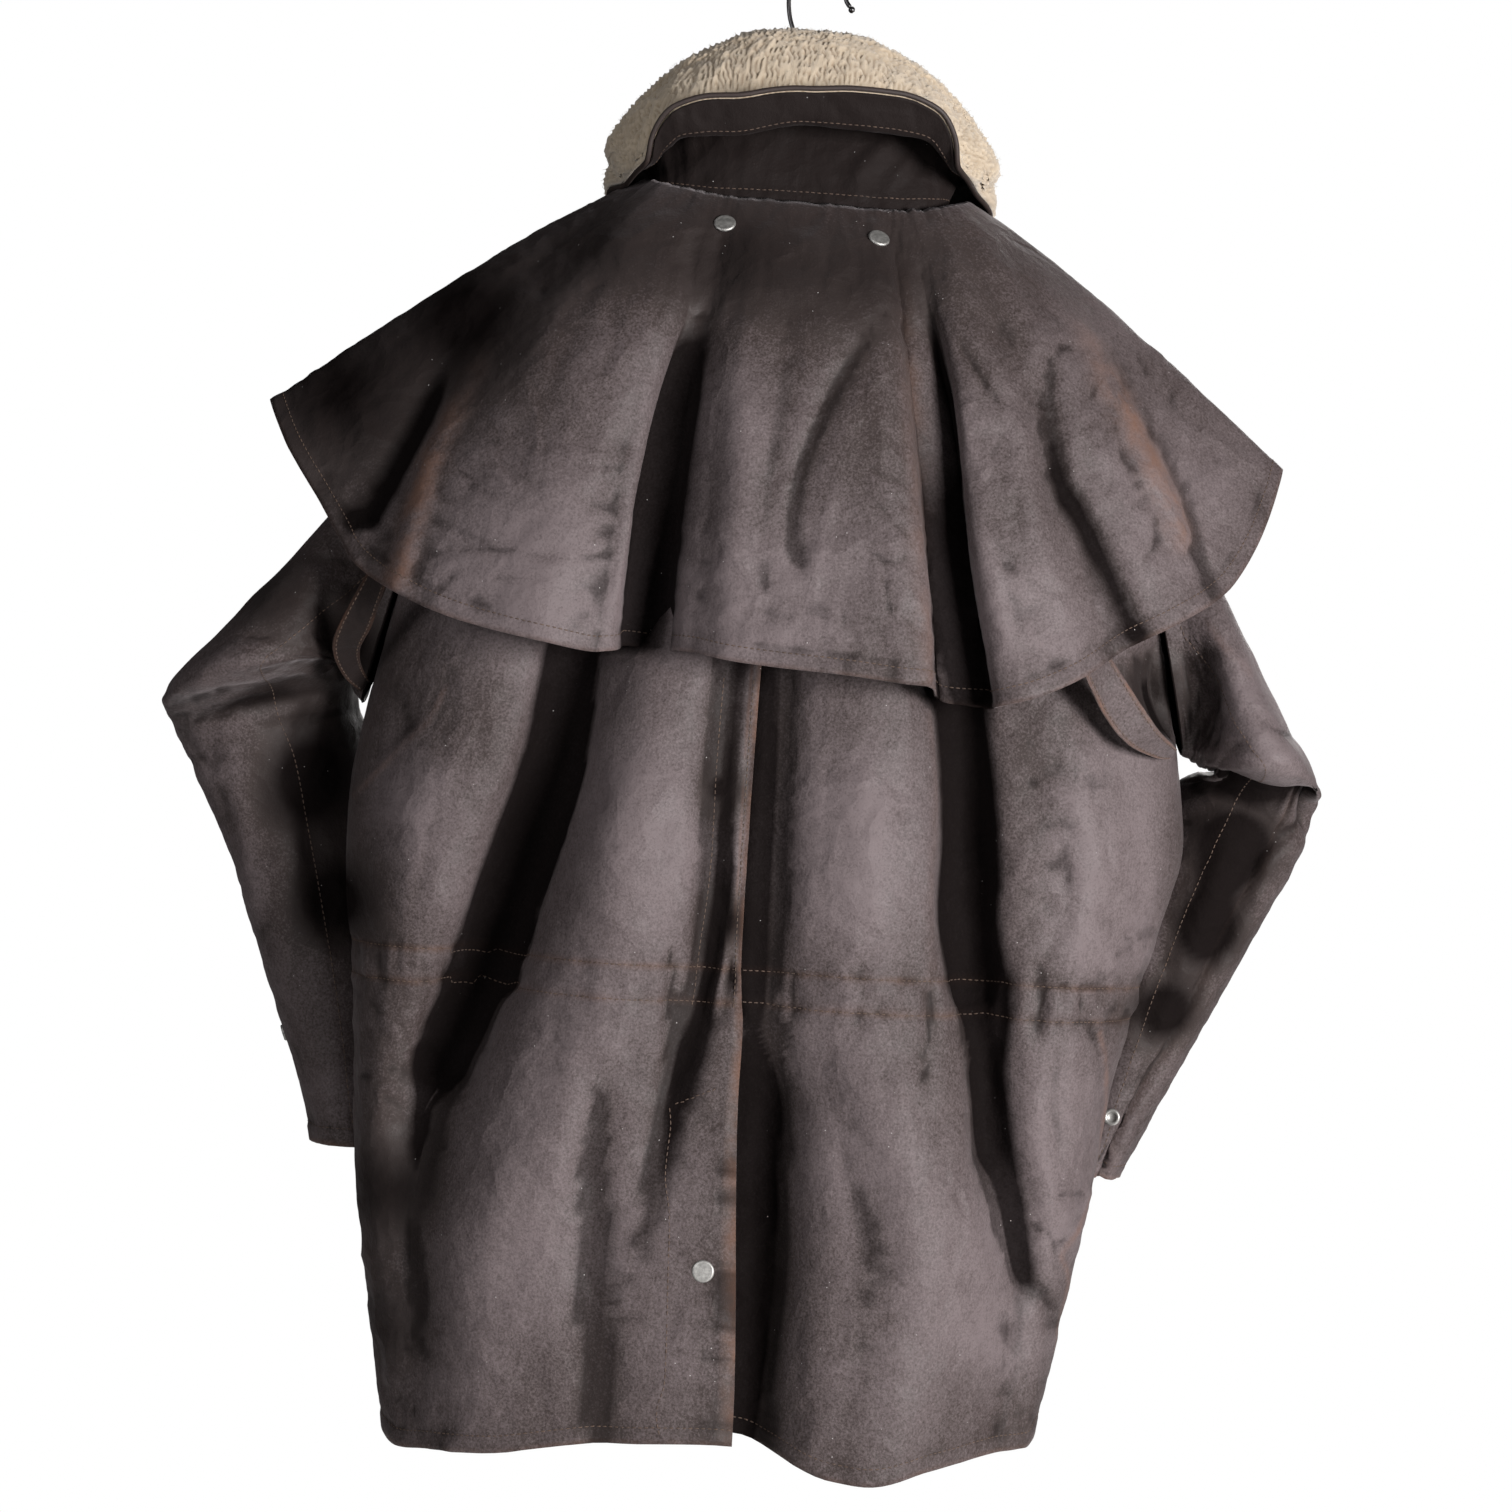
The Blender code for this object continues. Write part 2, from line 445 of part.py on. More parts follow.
def neck_line(side, part, share):
    """The neck edge from the shoulder seam, at 0, to the middle of the back or the front's lap, at 1."""
    sign = -1 if side == "left" else 1
    if part == "back":
        at = NECK_SIDE_STATION * (1 - share)
    else:
        at = NECK_SIDE_STATION + (len(COLLAR) - 1 - NECK_SIDE_STATION) * min(share / FRONT_NECK_SHARE, 1)
    places = range(len(COLLAR))
    point = [smooth(at, places, column(COLLAR, "seam" + axis)) for axis in ("_x", "_y", "_z")]
    point = np.array([COLLAR_X + sign * point[0], point[1], point[2] - NECK_DROP])
    if part == "front" and share > FRONT_NECK_SHARE:
        along = (share - FRONT_NECK_SHARE) / (1 - FRONT_NECK_SHARE)
        point += (np.array([-sign * FRONT_LAP, FRONT_NECK_Y, FRONT_NECK_Z]) - point) * along
    return point


def shoulder_seam(side, share):
    """The shoulder seam from the armhole, at 0, to the neck, at 1."""
    sign = -1 if side == "left" else 1
    outer = np.array(SHOULDER) * (sign, 1, 1)
    return outer + (neck_line(side, "back", 0) - outer) * share


def yoke_row(side, part, columns):
    """The top row of a panel: the shoulder seam, then the neck line to the middle."""
    row = []
    for j in range(columns + 1):
        along = 2 * j / columns
        row.append(shoulder_seam(side, along) if along <= 1 else neck_line(side, part, along - 1))
    return row


def panel_grid(side, part):
    """Rows from the shoulder to the hem, columns from the side to the middle."""
    sign = -1 if side == "left" else 1
    if part == "back":
        columns, place, rows_z = BACK_COLUMNS, back_point, BACK_ROWS_Z
        armhole, bulge = ARMHOLE_BACK, -BLADE_BULGE
    else:
        columns, place, rows_z = FRONT_COLUMNS, front_point, FRONT_ROWS_Z
        armhole, bulge = ARMHOLE_FRONT, CHEST_BULGE
    top = yoke_row(side, part, columns)
    under = [place(side, j / columns, UNDERARM_Z) for j in range(columns + 1)]
    if part == "front":
        for j in range(columns + 1):
            under[j][1] += sign * FRONT_STEP * ease(0.10, 0.03, abs(under[j][0]))
    grid = []
    for down in YOKE_ROWS:
        row = []
        for j in range(columns + 1):
            turn = j / columns
            drop = down ** 1.5
            deep = down ** (0.5 + 0.5 * ease(0.4, 0.6, turn)) if part == "back" else down
            point = top[j] + (under[j] - top[j]) * (drop, deep, drop)
            arch = 2 * math.sqrt(drop * (1 - drop))
            point[1] += arch * (armhole * (1 - turn) ** 2 + bulge * math.sin(math.pi * min(turn, 0.75) / 1.5))
            if part == "front":
                point[1] -= sign * FRONT_STEP * ease(0.10, 0.03, abs(point[0]))
            row.append(point)
        grid.append(row)
    for z in rows_z:
        grid.append([place(side, j / columns, z) for j in range(columns + 1)])
    return np.array(grid)


# Turning surfaces into solids


def normals_of(grid, ring):
    """One direction for each point of a grid, across its rows and columns."""
    down = np.gradient(grid, axis=0)
    if ring:
        across = (np.roll(grid, -1, axis=1) - np.roll(grid, 1, axis=1)) / 2
    else:
        across = np.gradient(grid, axis=1)
    normal = np.cross(down, across)
    return normal / np.maximum(np.linalg.norm(normal, axis=2, keepdims=True), 1e-9)


def material_of(name):
    material = bpy.data.materials.get(name) or bpy.data.materials.new(name)
    material.use_nodes = True
    shader = material.node_tree.nodes["Principled BSDF"]
    shader.inputs["Base Color"].default_value = (*COLOURS[name], 1)
    metal = name in ("silver", "steel")
    shader.inputs["Metallic"].default_value = 1.0 if metal else 0.0
    shader.inputs["Roughness"].default_value = {"silver": 0.40, "steel": 0.45, "fleece": 0.95}.get(name, 0.78)
    material.diffuse_color = (*COLOURS[name], 1)
    return material


def add_object(name, points, faces, colour):
    mesh = bpy.data.meshes.new(name)
    mesh.from_pydata([tuple(p) for p in points], [], faces)
    mesh.validate()
    mesh.materials.append(material_of(colour))
    mesh.shade_smooth()
    mesh.set_sharp_from_angle(angle=math.radians(50))
    item = bpy.data.objects.new(name, mesh)
    bpy.context.scene.collection.objects.link(item)
    return item


def signed_volume(points, faces):
    total = 0.0
    for face in faces:
        for k in range(1, len(face) - 1):
            a, b, c = points[face[0]], points[face[k]], points[face[k + 1]]
            total += np.dot(a, np.cross(b, c))
    return total


def wall(name, outer, inner, colour, ring=False):
    """A closed wall between two grids of the same size. A ring closes round its columns."""
    rows, columns = outer.shape[:2]
    points = np.concatenate([outer.reshape(-1, 3), inner.reshape(-1, 3)])
    behind = rows * columns
    faces = []
    spans = columns if ring else columns - 1
    for i in range(rows - 1):
        for j in range(spans):
            k = (j + 1) % columns
            a, b = i * columns + j, i * columns + k
            c, d = a + columns, b + columns
            faces += [(a, b, d), (a, d, c)]
            faces += [(behind + a, behind + d, behind + b), (behind + a, behind + c, behind + d)]
    for j in range(spans):
        k = (j + 1) % columns
        last = (rows - 1) * columns
        faces.append((j, behind + j, behind + k, k))
        faces.append((last + j, last + k, behind + last + k, behind + last + j))
    if not ring:
        for i in range(rows - 1):
            a, c = i * columns, (i + 1) * columns
            faces.append((a, c, behind + c, behind + a))
            a, c = a + columns - 1, c + columns - 1
            faces.append((a, behind + a, behind + c, c))
    if signed_volume(points, faces) < 0:
        faces = [face[::-1] for face in faces]
    return add_object(name, points, faces, colour)


def cloth(name, grid, thickness, colour="wax", ring=False, square_edges=()):
    """A sheet of cloth. square_edges lists places of the grid and the axis that their direction has none
    of, so that two panels meet squarely at a seam."""
    normal = normals_of(grid, ring)
    for place, axis in square_edges:
        normal[place + (axis,)] = 0
        normal[place] = unit(normal[place])
    half = np.asarray(thickness)[..., None] / 2 if np.ndim(thickness) else thickness / 2
    return wall(name, grid + normal * half, grid - normal * half, colour, ring)


def loft(name, rings, colour):
    """A solid through rings of points, closed at both ends."""
    rings = np.array(rings)
    count, sides = rings.shape[:2]
    points = rings.reshape(-1, 3)
    faces = [tuple(range(sides)), tuple(range(len(points) - 1, len(points) - 1 - sides, -1))]
    for k in range(count - 1):
        for turn in range(sides):
            after = (turn + 1) % sides
            a, b = k * sides + turn, k * sides + after
            faces.append((a, a + sides, b + sides, b))
    if signed_volume(points, faces) < 0:
        faces = [face[::-1] for face in faces]
    return add_object(name, points, faces, colour)


def circle(centre, across, other, sides):
    """A ring of points. across and other are its two half axes."""
    angles = [2 * math.pi * turn / sides for turn in range(sides)]
    return [centre + math.cos(angle) * across + math.sin(angle) * other for angle in angles]


def tube(name, path, radius, sides, colour):
    """A round bar along a path."""
    path = np.array(path, float)
    along = unit(np.gradient(path, axis=0))
    side = np.cross(along[0], (0.0, 1.0, 0.0))
    if np.linalg.norm(side) < 0.1:
        side = np.cross(along[0], (1.0, 0.0, 0.0))
    radii = np.broadcast_to(radius, len(path))
    rings = []
    for k, centre in enumerate(path):
        side = unit(side - along[k] * np.dot(side, along[k]))
        rings.append(circle(centre, radii[k] * side, radii[k] * np.cross(along[k], side), sides))
    return loft(name, rings, colour)


# Body panels


def make_panels():
    for side in ("left", "right"):
        sign = -1 if side == "left" else 1
        for part in ("back", "front"):
            grid = panel_grid(side, part)
            behind = -1 if part == "back" else 1
            shoulder = slice(0, grid.shape[1] // 2 + 1)
            grid[:, 0, 1] += behind * SEAM_GAP / 2
            grid[0, shoulder, 1] += behind * SEAM_GAP / 2
            every = slice(None)
            edges = [((every, 0), 1), ((0, shoulder), 1)]
            if part == "back":
                grid[:, -1, 0] += sign * SEAM_GAP / 2
                edges.append(((every, -1), 0))
            cloth(part + "_" + side, grid, CLOTH, square_edges=edges)


# Sleeves


def sleeve_grid(rings):
    grid = []
    for ring in rings:
        outer = np.array([ring.outer_x, 0, ring.outer_z])
        inner = np.array([ring.inner_x, 0, ring.inner_z])
        middle, reach = (outer + inner) / 2, (outer - inner) / 2
        row = []
        for j in range(SLEEVE_COLUMNS):
            angle = 2 * math.pi * j / SLEEVE_COLUMNS
            mid_y = (ring.back + ring.front) / 2
            depth = (ring.front - ring.back) / 2
            point = middle + reach * math.cos(angle)
            point[1] = mid_y - depth * math.sin(angle) + (ring.inner_y - mid_y) * (1 - math.cos(angle)) / 2
            row.append(point)
        grid.append(row)
    return np.array(grid)


def make_sleeves():
    for name, rings, sign in (("sleeve_left", LEFT_SLEEVE, -1), ("sleeve_right", RIGHT_SLEEVE, 1)):
        grid = sleeve_grid(rings)
        grid[0, :, 0] += sign * ARMHOLE_GAP
        cloth(name, grid, CLOTH, ring=True)


# Cape


def cape_point(at, down):
    """at runs along the table's rulings, down from 0 at the neck seam to 1 at the hem."""
    places = range(len(CAPE))
    neck = np.array([smooth(at, places, column(CAPE, "neck" + axis)) for axis in ("_x", "_y", "_z")])
    hem = np.array([smooth(at, places, column(CAPE, "hem" + axis)) for axis in ("_x", "_y", "_z")])
    out_y, out_z = (smooth(at, places, column(CAPE, name)) for name in ("out_y", "out_z"))
    out = np.array([0.0, out_y, out_z])
    swell = math.sin(math.pi * down ** 0.75)
    return neck + (hem - neck) * down + out * swell


def cape_grid():
    count = 2 * (len(CAPE) - 1) + 1
    return np.array([[cape_point(j / 2, i / CAPE_ROWS) for j in range(count)] for i in range(CAPE_ROWS + 1)])


def make_cape():
    cloth("cape", cape_grid(), CLOTH)


def finer(grid, times):
    """The same facets with more points on them."""
    for axis in (0, 1):
        last = grid.shape[axis] - 1
        at = np.linspace(0, last, last * times + 1)
        low = np.minimum(at.astype(int), last - 1)
        share = (at - low).reshape((-1, 1, 1) if axis == 0 else (1, -1, 1))
        grid = np.take(grid, low, axis) * (1 - share) + np.take(grid, low + 1, axis) * share
    return grid


# Collar


def collar_path(station):
    """The collar's section: up from the neck seam, over the roll and down the fall to its edge."""
    seam, roll = row_point(station, "seam"), row_point(station, "roll")
    belly, edge = row_point(station, "belly"), row_point(station, "edge")
    outward = belly - seam
    outward[2] = 0
    outward /= np.linalg.norm(outward)
    below = np.array([0, 0, -ROLL_RADIUS])
    return [seam,
            seam * 0.62 + roll * 0.38 - outward * ROLL_RADIUS * 0.5,
            seam * 0.25 + roll * 0.75 - outward * ROLL_RADIUS * 0.9,
            roll + below * 0.9 - outward * ROLL_RADIUS,
            roll,
            roll + below * 0.9 + outward * ROLL_RADIUS,
            roll * 0.5 + belly * 0.5 + outward * ROLL_RADIUS * 0.5,
            belly,
            edge]


def collar_grid(columns, rows):
    """Rows from the neck seam to the free edge, columns from the left front end to the right one."""
    paths = [collar_path(station) for station in COLLAR]
    mirrored = [[point * (-1, 1, 1) for point in path] for path in paths[:0:-1]]
    paths = np.array(mirrored + paths)
    places = range(len(paths))
    grid = []
    for i in rows:
        row = []
        for j in range(columns + 1):
            at = j / columns * (len(paths) - 1)
            section_points = [[smooth(at, places, paths[:, k, axis]) for axis in range(3)]
                              for k in range(paths.shape[1])]
            section_points = np.array(section_points)
            row.append([spline(i, section_points[:, axis]) for axis in range(3)])
        grid.append(row)
    grid = np.array(grid)
    grid[..., 0] += COLLAR_X
    return grid


def spline(at, values):
    """A rounder curve than smooth, for closely spaced points."""
    last = len(values) - 1
    k = int(min(max(math.floor(at), 0), last - 1))
    t = at - k
    before, start, end, after = (values[max(k - 1, 0)], values[k], values[k + 1], values[min(k + 2, last)])
    return 0.5 * (2 * start + (end - before) * t + (2 * before - 5 * start + 4 * end - after) * t * t
                  + (3 * start - before - 3 * end + after) * t ** 3)


def make_collar():
    grid = collar_grid(COLLAR_COLUMNS, COLLAR_ROWS)
    normal = normals_of(grid, False)
    inward = normal if np.dot(normal[0, COLLAR_COLUMNS // 2], (0, 1, 0)) > 0 else -normal
    roll = COLLAR_ROWS.index(4.0)
    half = CLOTH / 2
    stand_rows = grid[:roll + 1].copy()
    fall_rows = grid[roll:].copy()
    gap = SEAM_GAP / 2
    stand_rows[-1] += gap * unit(grid[roll - 1] - grid[roll])
    fall_rows[0] += gap * unit(grid[roll + 1] - grid[roll])
    wall("collar_stand", stand_rows + inward[:roll + 1] * half, stand_rows - inward[:roll + 1] * half, "wax")
    wall("collar_fall", fall_rows + inward[roll:] * half, fall_rows - inward[roll:] * half, "wax")
    ends = (COLLAR_ROWS[0], COLLAR_ROWS[-1])
    thickness = np.array([FLEECE_AT_EDGE if row in ends else FLEECE for row in COLLAR_ROWS])[:, None, None]
    near = grid + inward * (half + SEAM_GAP)
    wall("collar_fleece", near, near + inward * thickness, "fleece")
    beyond = unit(np.cross(np.gradient(grid[-1], axis=0), inward[-1]))
    if np.dot(beyond[0], grid[-1, 0] - grid[-2, 0]) < 0:
        beyond = -beyond
    centre = grid[-1] + beyond * (PIPING_RADIUS + PIPING_GAP) + inward[-1] * PIPING_RADIUS
    tube("collar_piping", centre, PIPING_RADIUS, PIPING_SIDES, "dark_wax")


def unit(vectors):
    return vectors / np.linalg.norm(vectors, axis=-1, keepdims=True)


# Straps


def make_straps():
    facets = finer(cape_grid(), FINER)
    directions = normals_of(facets, False)
    for name, rows in (("strap_left", LEFT_STRAP), ("strap_right", RIGHT_STRAP)):
        sewn = []
        for down in STRAP_DOWN:
            places = [(round(down * CAPE_ROWS * FINER), round(along * 2 * FINER))
                      for along in STRAP_ENDS[name]]
            inward = unit(sum(directions[place] for place in places))
            inward *= np.sign(inward[1])
            below = CLOTH / 2 + STRAP_GAP + STRAP_CLOTH / 2
            sewn.append([facets[place] + inward * below for place in places])
        free = [sewn[-1]]
        for row in rows:
            outer, inner = row_point(row, "outer"), row_point(row, "inner")
            free.append([outer, (outer + inner) / 2, inner])
        free = np.array(free)
        steps = [i / STRAP_STEPS for i in range(1, STRAP_STEPS * (len(free) - 1) + 1)]
        hanging = [[[spline(step, free[:, j, axis]) for axis in range(3)] for j in range(3)]
                   for step in steps]
        cloth(name, np.array(sewn + hanging), STRAP_CLOTH)


# Snaps


CAP_PROFILE = ((0.86, 0.0), (1.0, 0.25), (0.97, 0.55), (0.62, 0.95))      # share of radius and height


def snap(name, facets, x, z, outward, radius=CAP_RADIUS):
    """A domed cap on the facets' point nearest to x and z, just clear of the cloth beneath it."""
    away = np.hypot(facets[..., 0] - x, facets[..., 2] - z)
    place = facets[np.unravel_index(np.argmin(away), away.shape)]
    offsets = facets - place
    beneath = np.linalg.norm(offsets, axis=2) < radius
    facing = unit(normals_of(facets, False)[beneath].mean(axis=0))
    facing *= np.sign(facing @ outward)
    across = unit(np.cross(facing, (0.0, 0.0, 1.0)))
    other = np.cross(facing, across)
    base = place + facing * ((offsets[beneath] @ facing).max() + CLOTH / 2 + CAP_GAP)
    across, other = across * radius, other * radius
    loft(name, [circle(base + facing * high * CAP_HEIGHT, wide * across, wide * other, CAP_SIDES)
                for wide, high in CAP_PROFILE], "silver")


def make_snaps():
    behind, before = np.array([0.0, -1.0, 0.0]), np.array([0.0, 1.0, 0.0])
    cape = finer(cape_grid()[CAPE_SNAP_AREA], FINER)
    for name, (x, z) in CAPE_SNAPS.items():
        snap(name, cape, x, z, behind)
    snap("snap_vent", finer(panel_grid("left", "back")[VENT_SNAP_AREA], FINER), *VENT_SNAP, behind)
    placket = finer(panel_grid("left", "front")[PLACKET_AREA], 2 * FINER)
    for number, z in enumerate(FRONT_SNAPS_Z, 1):
        snap(f"snap_front_{number}", placket, FRONT_SNAPS_X, z, before)
    for name, rings, x, z, outward in CUFF_SNAPS:
        snap(name, finer(sleeve_grid(rings)[CUFF_AREA], FINER), x, z, np.array(outward), CUFF_CAP_RADIUS)


# Hanger


def bar_top(x):
    """The height of the bar's upper edge: just under the shoulder seams, and level between them."""
    side = "left" if x < 0 else "right"
    neck_x = neck_line(side, "back", 0)[0]
    share = min((abs(x) - SHOULDER[0]) / (abs(neck_x) - SHOULDER[0]), 1.0)
    return shoulder_seam(side, share)[2] - CLOTH / 2 - BAR_CLEARANCE


def make_hanger():
    rings = []
    for k in range(BAR_SPANS + 1):
        x = BAR_REACH * (2 * k / BAR_SPANS - 1)
        middle = np.array([x, 0.0, bar_top(x) - BAR_HEIGHT / 2])
        narrow = BAR_END if k in (0, BAR_SPANS) else 1.0
        rings.append(circle(middle, np.array([0, BAR_WIDTH / 2 * narrow, 0]),
                            np.array([0, 0, BAR_HEIGHT / 2 * narrow]), 8))
    loft("hanger_bar", rings, "wood")
    stem = [(0.0, 0.0, bar_top(0.0) + SEAM_GAP), (0.0, 0.0, -0.120), (0.0, 0.0, -0.075), (0.0, 0.0, -0.060)]
    arc = []
    for k in range(HOOK_SPANS + 1):
        angle = math.radians(HOOK_START + (HOOK_END - HOOK_START) * k / HOOK_SPANS)
        arc.append((HOOK_RADIUS * math.cos(angle), 0.0, HOOK_Z + HOOK_RADIUS * math.sin(angle)))
    radii = [WIRE_RADIUS] * (len(stem) + len(arc)) + [BALL_RADIUS * share for share in (0.75, 1.0, 0.75)]
    last, before = np.array(arc[-1]), np.array(arc[-2])
    onward = unit(last - before)
    ball = [last + onward * step for step in (0.0012, 0.0028, 0.0044)]
    tube("hanger_hook", stem + arc + ball, radii, 8, "steel")


def clear_scene():
    for item in list(bpy.data.objects):
        bpy.data.objects.remove(item, do_unlink=True)


clear_scene()
make_panels()
make_sleeves()
make_cape()
make_collar()
make_straps()
make_snaps()
make_hanger()
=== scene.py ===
import math

import bpy
import numpy as np
from mathutils import Matrix, Vector, kdtree


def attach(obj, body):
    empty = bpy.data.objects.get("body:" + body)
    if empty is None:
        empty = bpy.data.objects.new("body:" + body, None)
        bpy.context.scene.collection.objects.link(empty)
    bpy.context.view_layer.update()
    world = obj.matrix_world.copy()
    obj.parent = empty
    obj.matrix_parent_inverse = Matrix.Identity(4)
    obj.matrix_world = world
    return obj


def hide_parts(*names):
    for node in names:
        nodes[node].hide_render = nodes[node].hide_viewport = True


# The looks of a duster coat of waxed cotton with a shoulder cape and a fleece collar, on its hanger.
# Metres, +Z up. The origin is the inside top of the hanger's hook, and the coat's back faces -Y.

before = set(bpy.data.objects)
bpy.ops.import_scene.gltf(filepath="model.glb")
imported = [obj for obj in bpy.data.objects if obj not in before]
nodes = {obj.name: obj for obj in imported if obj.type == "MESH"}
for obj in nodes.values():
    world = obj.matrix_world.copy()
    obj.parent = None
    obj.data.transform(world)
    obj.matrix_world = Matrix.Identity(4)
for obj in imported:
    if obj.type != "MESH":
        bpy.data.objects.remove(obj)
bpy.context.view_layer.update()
print("frame loaded")

# Where the photo's pixels lie. Creases below are given in them, along the line that the eye follows.
photo = {
    "middle": 756.0,
    "pixel": 0.0007,                 # metres that a pixel spans at the hanger
    "distance": 2.5,
    "turn": math.radians(3.5),
    "aim": (-0.012, -0.558),
}

# How the cloth is built
clothLooks = {
    "thickness": 0.0018,
    "crumple": 0.0016,               # of the cloth's small dents
    "crumpleCell": 0.034,
    "hemBand": 0.012,
    "hemGroove": 0.0007,
    "pucker": 0.0006,
    "puckerCell": 0.0075,
}

# The coat's measures, the same as its solids' but for what the sleeves' table and collarSurface say

seamGap = 0.0003
underarm = -0.540
ventTop = -0.733
ventFull = -0.765
ventUnderlap = 0.038
flapDrift = 0.010
frontNeckShare = 0.75
frontLap = 0.028
frontStep = 0.0030
waist = -0.7125
casingHeight = 0.021
casingRise = 0.0012
roundness = 2.35
shoulder = (0.205, 0.000, -0.236)
neckDrop = 0.0038
frontNeckHeight = -0.222
frontNeckDepth = 0.066
armholeBack = -0.044
armholeFront = 0.046
bladeBulge = 0.010
chestBulge = 0.012
backSeam = -0.010
lowest = -1.035
armholeGap = 0.0015
collarMiddle = -0.005
neckSideStation = 6
rollRadius = 0.0065


def tableOf(columns, rows):
    return dict(zip(columns.split(), np.array(rows, float).T))


levels = tableOf("z left right back front", (
    (-0.540, -0.2870, 0.2830, -0.116, 0.088),
    (-0.600, -0.2930, 0.2890, -0.124, 0.088),
    (-0.660, -0.2915, 0.2755, -0.126, 0.086),
    (-0.7125, -0.2840, 0.2625, -0.122, 0.080),
    (-0.780, -0.2780, 0.2475, -0.128, 0.078),
    (-0.850, -0.2735, 0.2390, -0.134, 0.078),
    (-0.930, -0.2620, 0.2270, -0.138, 0.080),
    (-1.035, -0.2430, 0.2100, -0.141, 0.082),
))
backHem = tableOf("x z", (
    (-0.243, -1.036),
    (-0.228, -1.042),
    (-0.205, -1.038),
    (-0.159, -1.032),
    (-0.095, -1.020),
    (-0.003, -1.014),
    (0.027, -1.021),
    (0.066, -1.034),
    (0.090, -1.036),
    (0.130, -1.027),
    (0.186, -1.020),
    (0.200, -1.020),
    (0.210, -1.012),
))
frontHem = tableOf("x z", (
    (-0.243, -1.036),
    (-0.215, -1.040),
    (0.000, -1.034),
    (0.190, -1.020),
    (0.210, -1.012),
))

# The back's long folds: their panel, whether points follow them, their width, and x and depth at each level.
foldLevels = (-0.500, -0.620, -0.715, -0.800, -0.900, -1.035)
folds = (
    ("left side swell", "both", True, 0.034,
         (-0.205, -0.238, -0.250, -0.254, -0.248, -0.230),
         (-0.006, -0.018, -0.014, -0.010, -0.008, -0.004)),
    ("long left valley", "both", True, 0.031,
         (-0.118, -0.156, -0.185, -0.216, -0.228, -0.216),
         (0.016, 0.036, 0.040, 0.036, 0.018, 0.004)),
    ("left ridge", "both", True, 0.038,
         (-0.080, -0.088, -0.101, -0.128, -0.168, -0.180),
         (-0.002, -0.018, -0.018, -0.018, -0.014, -0.008)),
    ("left inner valley", "both", True, 0.013,
         (-0.040, -0.037, -0.043, -0.058, -0.068, -0.070),
         (0.004, 0.012, 0.011, 0.007, 0.003, 0.000)),
    ("lower left ripple", "both", False, 0.015,
         (-0.100, -0.105, -0.110, -0.105, -0.098, -0.088),
         (0.000, 0.000, 0.000, 0.004, 0.008, 0.007)),
    ("centre dip", "both", False, 0.016,
         (0.003, 0.003, 0.004, 0.004, 0.004, 0.004),
         (0.005, 0.012, 0.012, 0.000, 0.000, 0.000)),
    ("vent recess", "right", False, 0.026,
         (0.006, 0.006, 0.006, 0.010, 0.012, 0.010),
         (0.000, 0.000, 0.000, 0.042, 0.050, 0.048)),
    ("right ridge", "both", True, 0.036,
         (0.060, 0.064, 0.072, 0.100, 0.122, 0.105),
         (-0.004, -0.016, -0.014, -0.018, -0.020, -0.016)),
    ("long right valley", "both", True, 0.019,
         (0.112, 0.135, 0.148, 0.163, 0.188, 0.184),
         (0.012, 0.024, 0.024, 0.022, 0.016, 0.006)),
    ("right side swell", "both", True, 0.028,
         (0.182, 0.220, 0.214, 0.212, 0.212, 0.198),
         (-0.004, -0.014, -0.012, -0.008, -0.004, 0.000)),
)

# Short creases across the waist's casing
gathers = tableOf("x up down depth width", (
    (-0.205, 0.012, 0.020, 0.0030, 0.0060),
    (-0.165, 0.010, 0.014, 0.0024, 0.0060),
    (-0.118, 0.014, 0.016, 0.0026, 0.0060),
    (-0.060, 0.016, 0.052, 0.0048, 0.0050),
    (-0.038, 0.030, 0.016, 0.0056, 0.0050),
    (-0.022, 0.014, 0.014, 0.0034, 0.0045),
    (0.024, 0.012, 0.020, 0.0030, 0.0055),
    (0.068, 0.010, 0.014, 0.0024, 0.0060),
    (0.114, 0.014, 0.034, 0.0052, 0.0050),
    (0.129, 0.012, 0.016, 0.0044, 0.0042),
    (0.143, 0.014, 0.022, 0.0048, 0.0046),
    (0.166, 0.012, 0.026, 0.0040, 0.0055),
    (0.188, 0.010, 0.016, 0.0030, 0.0055),
    (0.225, 0.010, 0.018, 0.0026, 0.0060),
))

